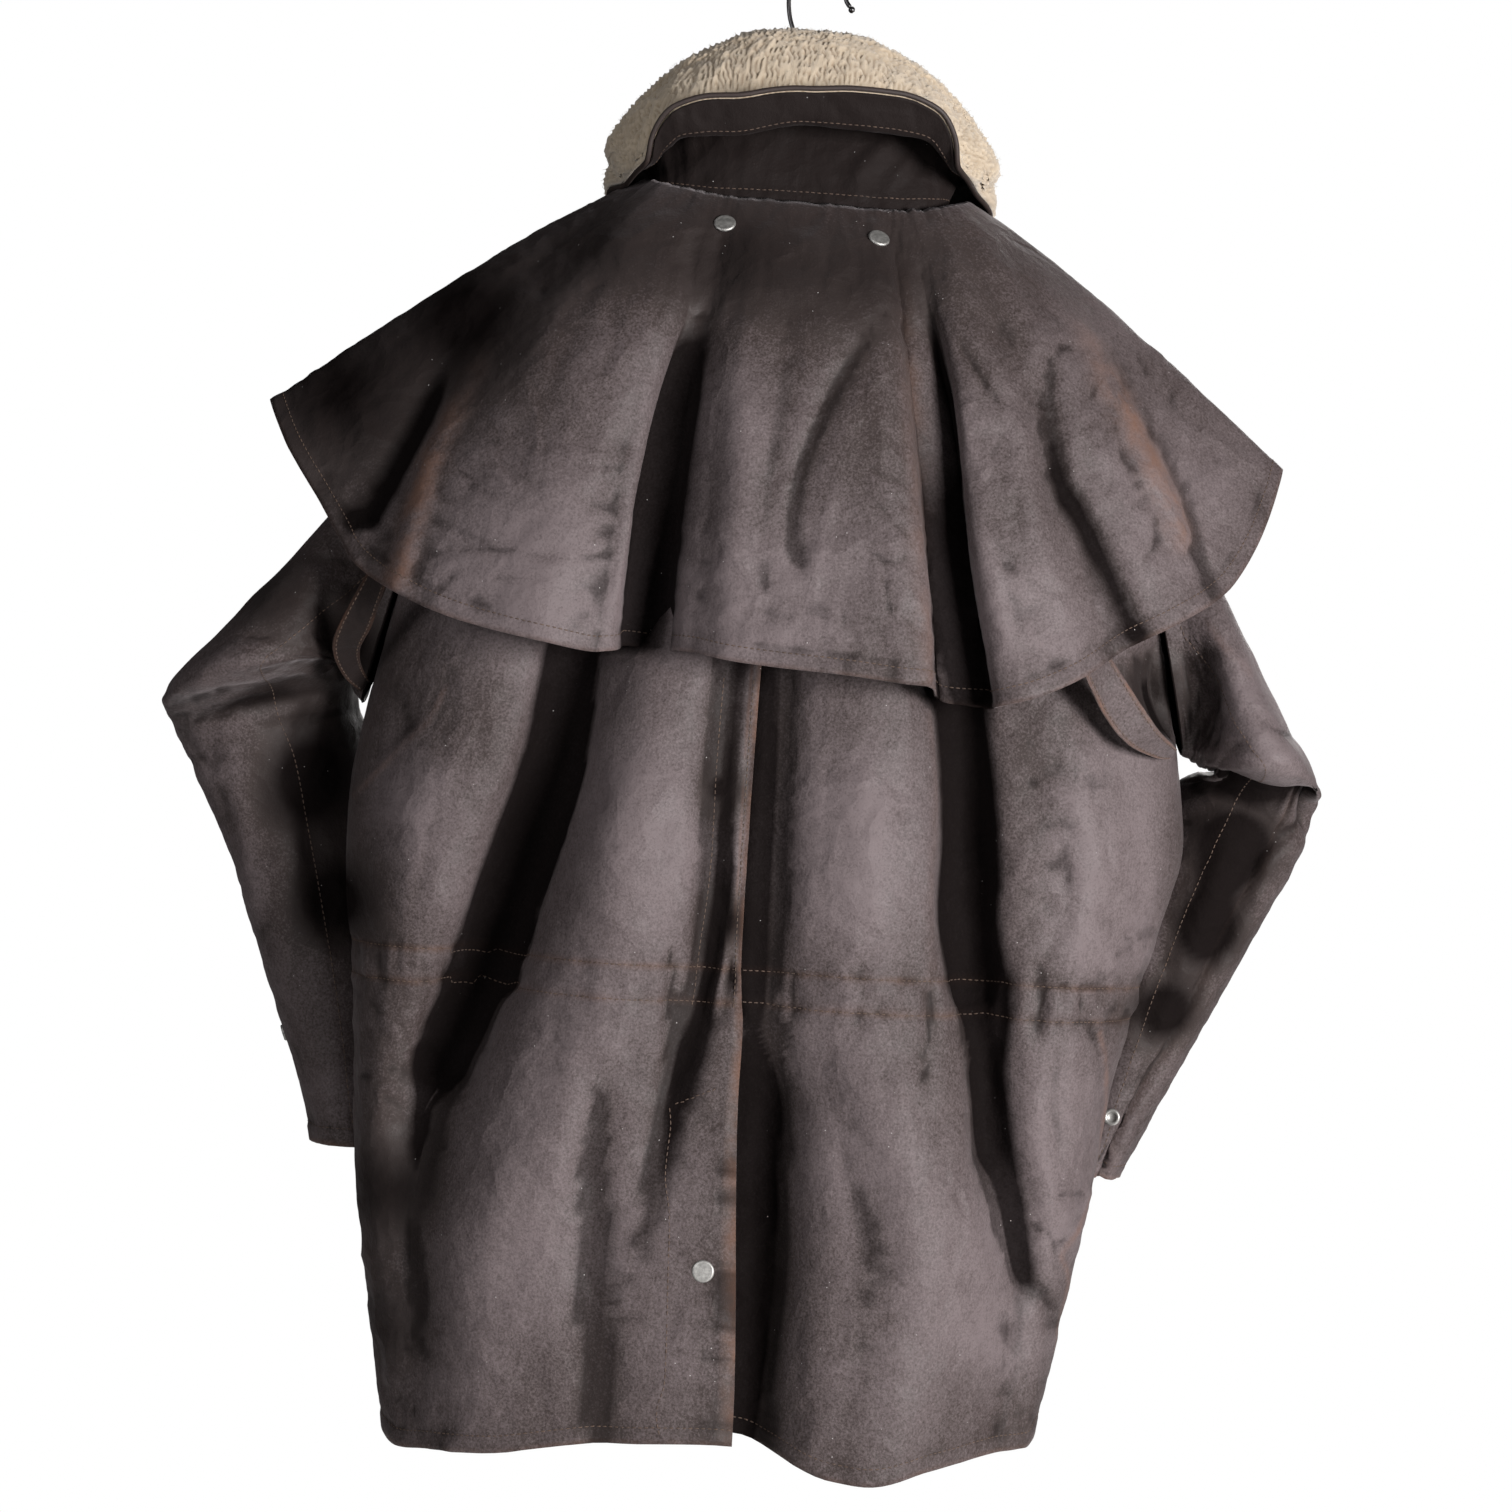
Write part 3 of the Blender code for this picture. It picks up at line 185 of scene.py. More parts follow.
# Two sections at each elbow, the ninth and tenth, have their inner edges further in and to the front
# than the solids do, by up to 31 mm, to close the view past the body.
sleeveColumns = "outerX outerZ innerX innerZ innerY back front"
sleeveRings = {
    "left": tableOf(sleeveColumns, (
    (-0.2062, -0.2370, -0.2885, -0.5370, 0.001, -0.044, 0.046),
    (-0.2300, -0.2780, -0.2935, -0.5310, 0.004, -0.042, 0.050),
    (-0.2620, -0.3270, -0.2975, -0.5240, 0.006, -0.040, 0.052),
    (-0.2930, -0.3750, -0.3005, -0.5180, 0.004, -0.046, 0.054),
    (-0.3260, -0.4180, -0.3030, -0.5140, -0.001, -0.058, 0.056),
    (-0.3600, -0.4610, -0.3050, -0.5110, -0.006, -0.070, 0.058),
    (-0.3930, -0.5000, -0.3065, -0.5090, -0.010, -0.078, 0.058),
    (-0.4170, -0.5270, -0.3080, -0.5080, -0.010, -0.080, 0.060),
    (-0.4260, -0.5430, -0.3040, -0.5095, 0.018, -0.072, 0.062),
    (-0.4255, -0.5520, -0.3000, -0.5190, 0.038, -0.040, 0.068),
    (-0.4190, -0.5700, -0.2980, -0.5400, 0.050, -0.024, 0.078),
    (-0.4060, -0.5960, -0.2850, -0.5740, 0.066, -0.018, 0.088),
    (-0.3900, -0.6290, -0.2800, -0.6120, 0.070, -0.012, 0.098),
    (-0.3760, -0.6620, -0.2750, -0.6520, 0.074, -0.004, 0.108),
    (-0.3620, -0.7040, -0.2700, -0.6980, 0.080, 0.006, 0.118),
    (-0.3490, -0.7450, -0.2650, -0.7420, 0.085, 0.016, 0.128),
    (-0.3340, -0.7880, -0.2620, -0.7860, 0.087, 0.026, 0.136),
    (-0.3230, -0.8220, -0.2600, -0.8210, 0.0865, 0.032, 0.141),
    (-0.3160, -0.8530, -0.2530, -0.8520, 0.090, 0.036, 0.144),
    )),
    "right": tableOf(sleeveColumns, (
    (0.2062, -0.2370, 0.2845, -0.5380, 0.001, -0.044, 0.046),
    (0.2280, -0.2780, 0.2895, -0.5400, 0.004, -0.042, 0.050),
    (0.2540, -0.3270, 0.2935, -0.5420, 0.006, -0.040, 0.052),
    (0.2800, -0.3770, 0.2970, -0.5440, 0.004, -0.046, 0.054),
    (0.3050, -0.4240, 0.3000, -0.5460, -0.001, -0.058, 0.056),
    (0.3280, -0.4680, 0.3030, -0.5475, -0.006, -0.070, 0.058),
    (0.3500, -0.5080, 0.3060, -0.5485, -0.010, -0.080, 0.060),
    (0.3700, -0.5390, 0.3085, -0.5495, -0.010, -0.082, 0.062),
    (0.3845, -0.5585, 0.3010, -0.5505, 0.026, -0.070, 0.064),
    (0.3855, -0.5700, 0.2870, -0.5610, 0.058, -0.036, 0.070),
    (0.3815, -0.5890, 0.2780, -0.5800, 0.064, -0.022, 0.080),
    (0.3720, -0.6150, 0.2680, -0.6060, 0.070, -0.016, 0.090),
    (0.3580, -0.6460, 0.2580, -0.6400, 0.076, -0.008, 0.100),
    (0.3420, -0.6820, 0.2500, -0.6780, 0.080, 0.004, 0.110),
    (0.3260, -0.7180, 0.2430, -0.7150, 0.086, 0.014, 0.120),
    (0.3090, -0.7550, 0.2380, -0.7530, 0.090, 0.024, 0.128),
    (0.2920, -0.7920, 0.2320, -0.7910, 0.090, 0.032, 0.135),
    (0.2790, -0.8200, 0.2300, -0.8190, 0.088, 0.037, 0.139),
    (0.2680, -0.8440, 0.2200, -0.8430, 0.091, 0.040, 0.142),
    )),
}

# The cape from its left front edge round the back to its right front edge
cape = tableOf("neckX neckY neckZ hemX hemY hemZ outY outZ", (
    (-0.034, 0.080, -0.224, -0.040, 0.120, -0.520, 0.024, 0.004),  # front edge
    (-0.057, 0.069, -0.215, -0.090, 0.126, -0.516, 0.030, 0.006),  # front
    (-0.080, 0.060, -0.202, -0.160, 0.120, -0.500, 0.034, 0.012),  # front
    (-0.099, 0.042, -0.187, -0.232, 0.098, -0.468, 0.032, 0.018),  # front
    (-0.108, 0.023, -0.173, -0.300, 0.062, -0.418, 0.022, 0.016),  # front
    (-0.1110, 0.011, -0.1640, -0.346, 0.030, -0.362, 0.012, 0.010),  # wing front
    (-0.1115, 0.000, -0.1600, -0.3655, 0.000, -0.331, 0.000, 0.009),  # wing fold
    (-0.1110, -0.010, -0.1615, -0.3500, -0.032, -0.360, -0.012, 0.010),  # wing back
    (-0.1085, -0.020, -0.1640, -0.3190, -0.062, -0.404, -0.020, 0.012),  # wing trough
    (-0.1040, -0.030, -0.1660, -0.2870, -0.098, -0.447, -0.028, 0.014),  # wing ridge
    (-0.0960, -0.040, -0.1690, -0.2580, -0.124, -0.464, -0.034, 0.012),  # left lobe
    (-0.0850, -0.048, -0.1720, -0.2150, -0.148, -0.480, -0.034, 0.008),  # left lobe
    (-0.0730, -0.053, -0.1745, -0.1600, -0.163, -0.491, -0.036, 0.004),  # left lobe
    (-0.0620, -0.056, -0.1765, -0.1180, -0.154, -0.496, -0.032, 0.002),  # left lobe edge
    (-0.0530, -0.0575, -0.1775, -0.0870, -0.123, -0.491, -0.031, 0.001),  # trough one
    (-0.0450, -0.0580, -0.1780, -0.0610, -0.146, -0.492, -0.033, 0.000),  # centre lobe edge
    (-0.0280, -0.0585, -0.1785, -0.0330, -0.168, -0.497, -0.036, 0.000),  # centre lobe
    (-0.0050, -0.0585, -0.1790, 0.0050, -0.172, -0.500, -0.036, 0.000),  # centre lobe
    (0.0180, -0.0585, -0.1795, 0.0430, -0.174, -0.502, -0.036, 0.000),  # centre lobe
    (0.0360, -0.0580, -0.1800, 0.0780, -0.174, -0.505, -0.036, 0.000),  # centre lobe
    (0.0480, -0.0575, -0.1800, 0.1010, -0.160, -0.507, -0.034, 0.000),  # centre lobe edge
    (0.0560, -0.0565, -0.1800, 0.1070, -0.122, -0.513, -0.030, 0.001),  # trough two
    (0.0650, -0.0550, -0.1795, 0.1300, -0.140, -0.518, -0.032, 0.002),  # right lobe edge
    (0.0750, -0.0520, -0.1780, 0.1600, -0.154, -0.512, -0.034, 0.004),  # right lobe
    (0.0850, -0.0480, -0.1760, 0.1960, -0.144, -0.496, -0.034, 0.006),  # right lobe
    (0.0940, -0.0410, -0.1730, 0.2300, -0.114, -0.472, -0.030, 0.010),  # right trough
    (0.1010, -0.0330, -0.1700, 0.2660, -0.102, -0.452, -0.028, 0.014),  # right ridge
    (0.1070, -0.0220, -0.1670, 0.3020, -0.070, -0.426, -0.022, 0.014),  # wing back
    (0.1110, -0.010, -0.1640, 0.3300, -0.034, -0.376, -0.012, 0.010),  # wing back
    (0.1125, 0.000, -0.1630, 0.3430, 0.000, -0.336, 0.000, 0.009),  # wing fold
    (0.1120, 0.011, -0.1660, 0.3280, 0.030, -0.366, 0.012, 0.010),  # wing front
    (0.109, 0.023, -0.174, 0.288, 0.062, -0.420, 0.022, 0.016),  # front
    (0.100, 0.042, -0.187, 0.226, 0.098, -0.468, 0.032, 0.018),  # front
    (0.081, 0.060, -0.202, 0.156, 0.120, -0.500, 0.034, 0.012),  # front
    (0.058, 0.069, -0.215, 0.088, 0.126, -0.516, 0.030, 0.006),  # front
    (0.035, 0.080, -0.224, 0.040, 0.120, -0.520, 0.024, 0.004),  # front edge
))

# The collar from its centre back round to its right front end
collar = tableOf("seamX seamY seamZ rollX rollY rollZ bellyX bellyY bellyZ edgeX edgeY edgeZ", (
    (0.000, -0.0563, -0.1860, 0.000, -0.040, -0.0660, 0.000, -0.082, -0.1290, 0.000, -0.100, -0.1110),
    (0.030, -0.0560, -0.1860, 0.028, -0.040, -0.0670, 0.030, -0.082, -0.1300, 0.031, -0.100, -0.1090),
    (0.056, -0.0540, -0.1850, 0.056, -0.038, -0.0760, 0.056, -0.081, -0.1310, 0.062, -0.098, -0.1100),
    (0.080, -0.0450, -0.1800, 0.084, -0.034, -0.0920, 0.080, -0.078, -0.1330, 0.088, -0.093, -0.1180),
    (0.094, -0.0330, -0.1740, 0.106, -0.026, -0.1120, 0.097, -0.066, -0.1420, 0.105, -0.082, -0.1340),
    (0.100, -0.0180, -0.1690, 0.1210, -0.014, -0.1300, 0.113, -0.048, -0.1490, 0.112, -0.066, -0.1500),
    (0.101, 0.0000, -0.1670, 0.1230, 0.006, -0.1350, 0.128, -0.010, -0.1480, 0.124, -0.034, -0.1540),
    (0.096, 0.0240, -0.1740, 0.1110, 0.034, -0.1380, 0.128, 0.036, -0.1540, 0.133, 0.024, -0.1650),
    (0.083, 0.0430, -0.1880, 0.0930, 0.058, -0.1470, 0.116, 0.074, -0.1680, 0.123, 0.078, -0.1860),
    (0.062, 0.0570, -0.2020, 0.0680, 0.076, -0.1620, 0.088, 0.100, -0.1860, 0.092, 0.108, -0.2110),
    (0.042, 0.0650, -0.2120, 0.0450, 0.086, -0.1760, 0.058, 0.114, -0.2030, 0.060, 0.122, -0.2280),
))

# The arm straps below the cape's hem, and where they are sewn along the cape's rulings
strapRows = {
    "left": (
    (-0.3010, -0.0800, -0.4900, -0.2760, -0.0870, -0.4840),
    (-0.3040, -0.0640, -0.5060, -0.2860, -0.0640, -0.5010),
    (-0.2980, -0.0440, -0.5210, -0.2870, -0.0400, -0.5130),
    (-0.2884, -0.0240, -0.5300, -0.2829, -0.0240, -0.5220),
    ),
    "right": (
    (0.2420, -0.1060, -0.5060, 0.2180, -0.1120, -0.5160),
    (0.2580, -0.0920, -0.5240, 0.2360, -0.0980, -0.5340),
    (0.2710, -0.0660, -0.5330, 0.2580, -0.0720, -0.5420),
    (0.2770, -0.0370, -0.5355, 0.2716, -0.0455, -0.5425),
    ),
}
strapEnds = {"left": (9.25, 9.5, 9.75), "right": (24.75, 24.5, 24.25)}

# Curves and smooth steps


def curveThrough(at, places, values):
    # never swings past the table's values
    places = np.asarray(places, float)
    values = np.asarray(values, float)
    if places[0] > places[-1]:
        places, values = places[::-1], values[::-1]
    steps = np.diff(places)
    slopes = np.diff(values) / steps
    products = slopes[1:] * slopes[:-1]
    sameWay = products > 0
    tangents = np.zeros(len(values))
    tangents[1:-1][sameWay] = 2 * products[sameWay] / (slopes[1:] + slopes[:-1])[sameWay]
    tangents[0], tangents[-1] = slopes[0], slopes[-1]
    at = np.asarray(at, float)
    k = np.clip(np.searchsorted(places, at) - 1, 0, len(steps) - 1)
    t = np.clip((at - places[k]) / steps[k], 0, 1)
    return (values[k] * (1 + 2 * t) * (1 - t) ** 2 + tangents[k] * steps[k] * t * (1 - t) ** 2
            + values[k + 1] * t * t * (3 - 2 * t) + tangents[k + 1] * steps[k] * t * t * (t - 1))


def roundCurve(at, values):
    # rounder than curveThrough; values are evenly spaced along their first axis
    values = np.asarray(values, float)
    at = np.asarray(at, float)
    last = len(values) - 1
    k = np.clip(np.floor(at).astype(int), 0, last - 1)
    t = (at - k).reshape(at.shape + (1,) * (values.ndim - 1))
    before, start = values[np.maximum(k - 1, 0)], values[k]
    end, after = values[k + 1], values[np.minimum(k + 2, last)]
    return 0.5 * (2 * start + (end - before) * t + (2 * before - 5 * start + 4 * end - after) * t * t
                  + (3 * start - before - 3 * end + after) * t ** 3)


def ease(low, high, at):
    t = np.clip((np.asarray(at, float) - low) / (high - low), 0, 1)
    return t * t * (3 - 2 * t)


def unit(vectors):
    return vectors / np.maximum(np.linalg.norm(vectors, axis=-1, keepdims=True), 1e-12)


def rough(u, v, cell, seed):
    # smooth noise from about -1 to 1, with bumps of about the cell's size
    randoms = np.random.default_rng(seed)
    size = 128
    angles = randoms.uniform(0, 2 * math.pi, (size, size))
    u, v = np.asarray(u, float) / cell, np.asarray(v, float) / cell
    i, j = np.floor(u).astype(int), np.floor(v).astype(int)
    du, dv = u - i, v - j
    su, sv = du ** 3 * (du * (du * 6 - 15) + 10), dv ** 3 * (dv * (dv * 6 - 15) + 10)

    def corner(a, b):
        angle = angles[(i + a) % size, (j + b) % size]
        return np.cos(angle) * (du - a) + np.sin(angle) * (dv - b)

    top = corner(0, 0) * (1 - su) + corner(1, 0) * su
    bottom = corner(0, 1) * (1 - su) + corner(1, 1) * su
    return 1.5 * (top * (1 - sv) + bottom * sv)


def photoPlaces(points):
    # where points show in the photo, in pixels to the right and down
    scale = photo["pixel"] * (photo["distance"] + points[..., 1]) / photo["distance"]
    x, z = points[..., 0] - photo["aim"][0], points[..., 2] - photo["aim"][1]
    c, s = math.cos(photo["turn"]), math.sin(photo["turn"])
    right, down = (x * c + z * s) / scale, -(z * c - x * s) / scale
    return photo["middle"] + np.stack([right, down], -1)


# Creases


def crease(route, depth, right, left=None, fade="both", rust=0.0):
    # depth is in mm, inward if positive; right and left are its widths in mm, seen walking along the route
    return {"route": np.array(route, float), "depth": depth / 1000, "right": right / 1000,
            "left": (left or right) / 1000, "fade": fade, "rust": rust}


def fadeAlong(along, kind):
    if kind == "start":
        return ease(0.0, 0.45, along)
    if kind == "end":
        return ease(1.0, 0.55, along)
    if kind == "none":
        return np.ones_like(along)
    return np.sin(math.pi * np.clip(along, 0, 1)) ** 0.7


smallCrease = 0.0065


def creasePush(places, creases):
    # how far each place is pressed inward, and how rusty it is
    shape = places.shape[:-1]
    places = places.reshape(-1, 2)
    push, rust = np.zeros(len(places)), np.zeros(len(places))
    for one in creases:
        count = len(one["route"])
        route = roundCurve(np.linspace(0, count - 1, 4 * (count - 1) + 1), one["route"])
        reach = 3.2 * max(one["left"], one["right"]) / photo["pixel"]
        near = np.all((places > route.min(0) - reach) & (places < route.max(0) + reach), axis=1)
        if not near.any():
            continue
        here = places[near]
        nearest = np.full(len(here), np.inf)
        signed, along = np.zeros(len(here)), np.zeros(len(here))
        for k in range(len(route) - 1):
            step = route[k + 1] - route[k]
            length = max(np.linalg.norm(step), 1e-9)
            offset = here - route[k]
            t = np.clip(offset @ step / length ** 2, 0, 1)
            away = np.linalg.norm(offset - t[:, None] * step, axis=1)
            closer = away < nearest
            side = np.sign(offset[:, 0] * step[1] - offset[:, 1] * step[0])
            nearest[closer] = away[closer]
            signed[closer] = (side * away)[closer]
            along[closer] = ((k + t) / (len(route) - 1))[closer]
        width = np.where(signed > 0, one["right"], one["left"])
        away = signed * photo["pixel"] / width
        profile = np.exp(-away ** 2)
        if max(one["left"], one["right"]) < smallCrease:
            # a small crease is a sharp line with a soft lip beside it
            profile = np.exp(-(away / 0.6) ** 2) - 0.55 * np.exp(-((away + 1.5) / 1.1) ** 2)
            profile *= 0.40
        profile = profile * fadeAlong(along, one["fade"])
        push[near] += one["depth"] * profile
        rust[near] = np.maximum(rust[near], one["rust"] * profile)
    return push.reshape(shape), rust.reshape(shape)


# Places in the photo, in pixels right and down, each with its reach in pixels and its strength.
# The first list holds the grey bloom of old wax on the cloth, and also painted light and painted highlights
# where the cloth is lit. deepShade is no stain: it follows the photo's shade, and its strengths can be set to
# 0 where the coat stands in another light.

waxBloomAndPaintedLight = (
    (560, 430, 95, 0.75), (480, 560, 90, 0.85), (570, 600, 80, 0.75), (340, 420, 70, 0.30),
    (600, 330, 60, 0.35), (735, 420, 75, 0.75), (710, 600, 80, 1.00), (800, 620, 75, 0.85),
    (850, 540, 55, 0.55), (740, 320, 60, 0.35), (985, 440, 60, 0.60), (990, 600, 70, 0.85),
    (1065, 630, 60, 0.70), (1170, 540, 65, 0.75), (1230, 480, 50, 0.55), (640, 790, 75, 1.00),
    (650, 890, 75, 0.85), (590, 1010, 70, 0.55), (440, 880, 70, 0.45), (400, 780, 50, 0.30),
    (850, 800, 75, 0.95), (850, 900, 70, 0.85), (1085, 850, 60, 0.40), (1075, 930, 50, 0.35),
    (830, 1040, 60, 0.55), (540, 1120, 85, 0.60), (500, 1260, 85, 0.80), (620, 1250, 60, 0.50),
    (690, 1190, 60, 0.35), (690, 1350, 60, 0.40), (870, 1160, 80, 0.75), (930, 1290, 80, 0.60),
    (1010, 1340, 45, 0.95), (880, 1400, 70, 0.45), (450, 1390, 60, 0.55), (225, 760, 60, 0.60),
    (240, 880, 50, 0.75), (280, 980, 50, 0.45), (240, 640, 50, 0.35), (320, 1090, 40, 0.40),
    (1260, 620, 60, 0.40), (1290, 740, 50, 0.35), (1270, 880, 50, 0.45), (1200, 1050, 50, 0.45),
    (1230, 960, 45, 0.40), (1110, 820, 60, 0.90), (1110, 900, 55, 0.80), (1120, 760, 50, 0.70),
    (1070, 1080, 55, 0.90), (1060, 1150, 50, 0.70), (1245, 690, 50, 0.80), (1275, 760, 40, 0.60),
    (831, 1368, 5, 1.00), (879, 1343, 5, 1.00), (400, 800, 55, 0.80), (1130, 940, 50, 0.90),
    (1150, 450, 60, 0.80), (1090, 340, 60, 0.60), (1010, 1230, 60, 0.60), (1085, 1230, 50, 0.80),
)
deepShade = (
    (340, 400, 75, -1.30), (470, 320, 70, -1.20), (590, 250, 60, -0.70), (740, 275, 80, -0.90),
    (880, 270, 60, -0.60), (560, 410, 60, -0.55), (395, 1190, 50, -1.00), (390, 1330, 45, -0.60),
    (720, 790, 26, -1.60), (720, 920, 26, -1.60), (310, 780, 55, -1.60), (335, 900, 45, -1.40),
    (265, 600, 50, -0.70), (350, 640, 40, -1.20), (1235, 850, 40, -2.40), (1205, 930, 38, -2.20),
    (1165, 1010, 34, -1.80), (1160, 690, 30, -1.00),
)


# the bloom field: grey wax bloom and painted light above 0, painted shade below 0
def bloomAndPaintedLightAt(places):
    total = np.zeros(places.shape[:-1])
    for right, down, reach, strength in waxBloomAndPaintedLight + deepShade:
        away = (places[..., 0] - right) ** 2 + (places[..., 1] - down) ** 2
        total += strength * np.exp(-away / reach ** 2)
    return np.clip(total, -1, 1)


# Grids and shells


def gridNormals(grid, ring, towards=None):
    down = np.gradient(grid, axis=0)
    if ring:
        across = (np.roll(grid, -1, axis=1) - np.roll(grid, 1, axis=1)) / 2
    else:
        across = np.gradient(grid, axis=1)
    normal = unit(np.cross(down, across))
    if towards is not None:
        middle = normal[grid.shape[0] // 2, grid.shape[1] // 2]
        if np.dot(middle, towards) < 0:
            normal = -normal
    return normal


def blurred(field, ring, steps):
    for step in steps:
        if ring:
            field = (np.roll(field, step, 1) + 2 * field + np.roll(field, -step, 1)) / 4
        else:
            before = np.concatenate([np.repeat(field[:, :1], step, 1), field[:, :-step]], 1)
            after = np.concatenate([field[:, step:], np.repeat(field[:, -1:], step, 1)], 1)
            field = (before + 2 * field + after) / 4
        above = np.concatenate([np.repeat(field[:1], step, 0), field[:-step]], 0)
        below = np.concatenate([field[step:], np.repeat(field[-1:], step, 0)], 0)
        field = (above + 2 * field + below) / 4
    return field


def reliefOf(grid, normal, ring):
    # crest is 1 on the cloth's small ridges and -1 in its small hollows; the other field is 1 deep in its
    # valleys. The material paints shade into the small hollows and the valleys.
    small = np.sum((grid - blurred(grid, ring, (1, 1, 2, 2))) * normal, axis=-1)
    large = np.sum((blurred(grid, ring, (1, 2, 3, 5, 6, 10)) - grid) * normal, axis=-1)
    return {"crest": np.clip(small / 0.0007, -1, 1), "hollow": np.clip(large / 0.0075, 0, 1)}


def meshFrom(name, points, quads, material, fields=None, smooth=True):
    mesh = bpy.data.meshes.new(name)
    mesh.vertices.add(len(points))
    mesh.vertices.foreach_set("co", np.asarray(points, np.float32).ravel())
    mesh.loops.add(quads.size)
    mesh.loops.foreach_set("vertex_index", np.asarray(quads, np.int32).ravel())
    mesh.polygons.add(len(quads))
    mesh.polygons.foreach_set("loop_start", np.arange(0, quads.size, quads.shape[1], dtype=np.int32))
    mesh.update(calc_edges=True)
    mesh.validate()
    for field, values in (fields or {}).items():
        layer = mesh.attributes.new(field, "FLOAT", "POINT")
        layer.data.foreach_set("value", np.asarray(values, np.float32).ravel())
    mesh.materials.append(material)
    if smooth:
        mesh.shade_smooth()
    piece = bpy.data.objects.new(name, mesh)
    bpy.context.scene.collection.objects.link(piece)
    return piece


def shell(name, grid, normal, thickness, material, ring=False, fields=None):
    # a closed thin wall; normal points outward, and grid is the middle of the wall
    rows, columns = grid.shape[:2]
    half = np.asarray(thickness)[..., None] / 2 if np.ndim(thickness) else thickness / 2
    points = np.concatenate([(grid + normal * half).reshape(-1, 3), (grid - normal * half).reshape(-1, 3)])
    index = np.arange(rows * columns).reshape(rows, columns)
    if ring:
        index = np.concatenate([index, index[:, :1]], axis=1)
    behind = rows * columns
    outer = np.stack([index[:-1, :-1], index[:-1, 1:], index[1:, 1:], index[1:, :-1]], -1).reshape(-1, 4)
    top = np.stack([index[0, 1:], index[0, :-1], index[0, :-1] + behind, index[0, 1:] + behind], -1)
    bottom = np.stack([index[-1, :-1], index[-1, 1:], index[-1, 1:] + behind, index[-1, :-1] + behind], -1)
    quads = [outer, outer[:, ::-1] + behind, top, bottom]
    if not ring:
        quads.append(np.stack([index[:-1, 0], index[1:, 0], index[1:, 0] + behind,
                               index[:-1, 0] + behind], -1))
        quads.append(np.stack([index[1:, -1], index[:-1, -1], index[:-1, -1] + behind,
                               index[1:, -1] + behind], -1))
    quads = np.concatenate(quads)
    i, j = rows // 2, columns // 2
    if np.dot(np.cross(grid[i, j + 1] - grid[i, j], grid[i + 1, j] - grid[i, j]), normal[i, j]) < 0:
        quads = quads[:, ::-1]
    doubled = {key: np.concatenate([np.ravel(value), np.ravel(value)])
               for key, value in (fields or {}).items()}
    return meshFrom(name, points, quads, material, doubled)


def tubeQuads(rings, sides, count=1):
    # the faces of count tubes; each tube's points come ring by ring
    index = np.arange(rings * sides).reshape(rings, sides)
    index = np.concatenate([index, index[:, :1]], axis=1)
    one = np.stack([index[:-1, :-1], index[:-1, 1:], index[1:, 1:], index[1:, :-1]], -1).reshape(-1, 4)
    return (one[None] + (np.arange(count) * rings * sides)[:, None, None]).reshape(-1, 4)


def lathe(name, centre, axis, profile, sides, material):
    # profile holds (radius, height) pairs from one end of the axis to the other
    axis = unit(np.array(axis, float))
    side = unit(np.cross(axis, (0.0, 0.0, 1.0) if abs(axis[2]) < 0.9 else (1.0, 0.0, 0.0)))
    other = np.cross(axis, side)
    angles = np.linspace(0, 2 * math.pi, sides, endpoint=False)
    circle = np.cos(angles)[:, None] * side + np.sin(angles)[:, None] * other
    points = np.concatenate([centre + radius * circle + height * axis for radius, height in profile])
    return meshFrom(name, points, tubeQuads(len(profile), sides), material)


def tube(name, path, radii, sides, material):
    path = np.asarray(path, float)
    radii = np.broadcast_to(radii, len(path))
    along = unit(np.gradient(path, axis=0))
    side = np.cross(along[0], (0.0, 1.0, 0.0))
    if np.linalg.norm(side) < 0.1:
        side = np.cross(along[0], (1.0, 0.0, 0.0))
    angles = np.linspace(0, 2 * math.pi, sides, endpoint=False)
    rings = []
    for k, centre in enumerate(path):
        side = unit(side - along[k] * np.dot(side, along[k]))
        other = np.cross(along[k], side)
        rings.append(centre + radii[k] * (np.cos(angles)[:, None] * side + np.sin(angles)[:, None] * other))
    rings = [np.repeat(path[:1], sides, 0)] + rings + [np.repeat(path[-1:], sides, 0)]
    return meshFrom(name, np.concatenate(rings), tubeQuads(len(rings), sides), material)


# Stitches

threadLooks = {"pitch": 0.0042, "length": 0.0030, "width": 0.00042, "height": 0.00035, "sides": 4}


def seamThread(name, lines, material):
    # lines are (points, normals) of each row of stitches; every stitch is a short rounded bead of thread
    starts, ends, ups = [], [], []
    for path, normals in lines:
        steps = np.linalg.norm(np.diff(path, axis=0), axis=1)
        run = np.concatenate([[0], np.cumsum(steps)])
        count = int(run[-1] / threadLooks["pitch"])
        if count < 1:
            continue
        begin = (np.arange(count) + 0.15) * threadLooks["pitch"]
        for into, at in ((starts, begin), (ends, begin + threadLooks["length"])):
            into.append(np.stack([np.interp(at, run, path[:, axis]) for axis in range(3)], -1))
        ups.append(np.stack([np.interp(begin, run, normals[:, axis]) for axis in range(3)], -1))
    start, end, up = np.concatenate(starts), np.concatenate(ends), unit(np.concatenate(ups))
    along = end - start
    side = unit(np.cross(along, up))
    sides = threadLooks["sides"]
    angles = np.linspace(0, 2 * math.pi, sides, endpoint=False)
    rings = []
    for share, swell in ((0.0, 0.1), (0.2, 0.95), (0.8, 0.95), (1.0, 0.1)):
        middle = start + along * share
        for angle in angles:
            rings.append(middle + side * (threadLooks["width"] * swell * math.cos(angle))
                         + up * (threadLooks["height"] * (swell * math.sin(angle) + 0.25)))
    points = np.stack(rings, 1).reshape(-1, 3)
    return meshFrom(name, points, tubeQuads(4, sides, len(start)), material)


# Materials


def newMaterial(name):
    material = bpy.data.materials.new(name)
    material.use_nodes = True
    tree = material.node_tree
    return material, tree, tree.nodes["Principled BSDF"]


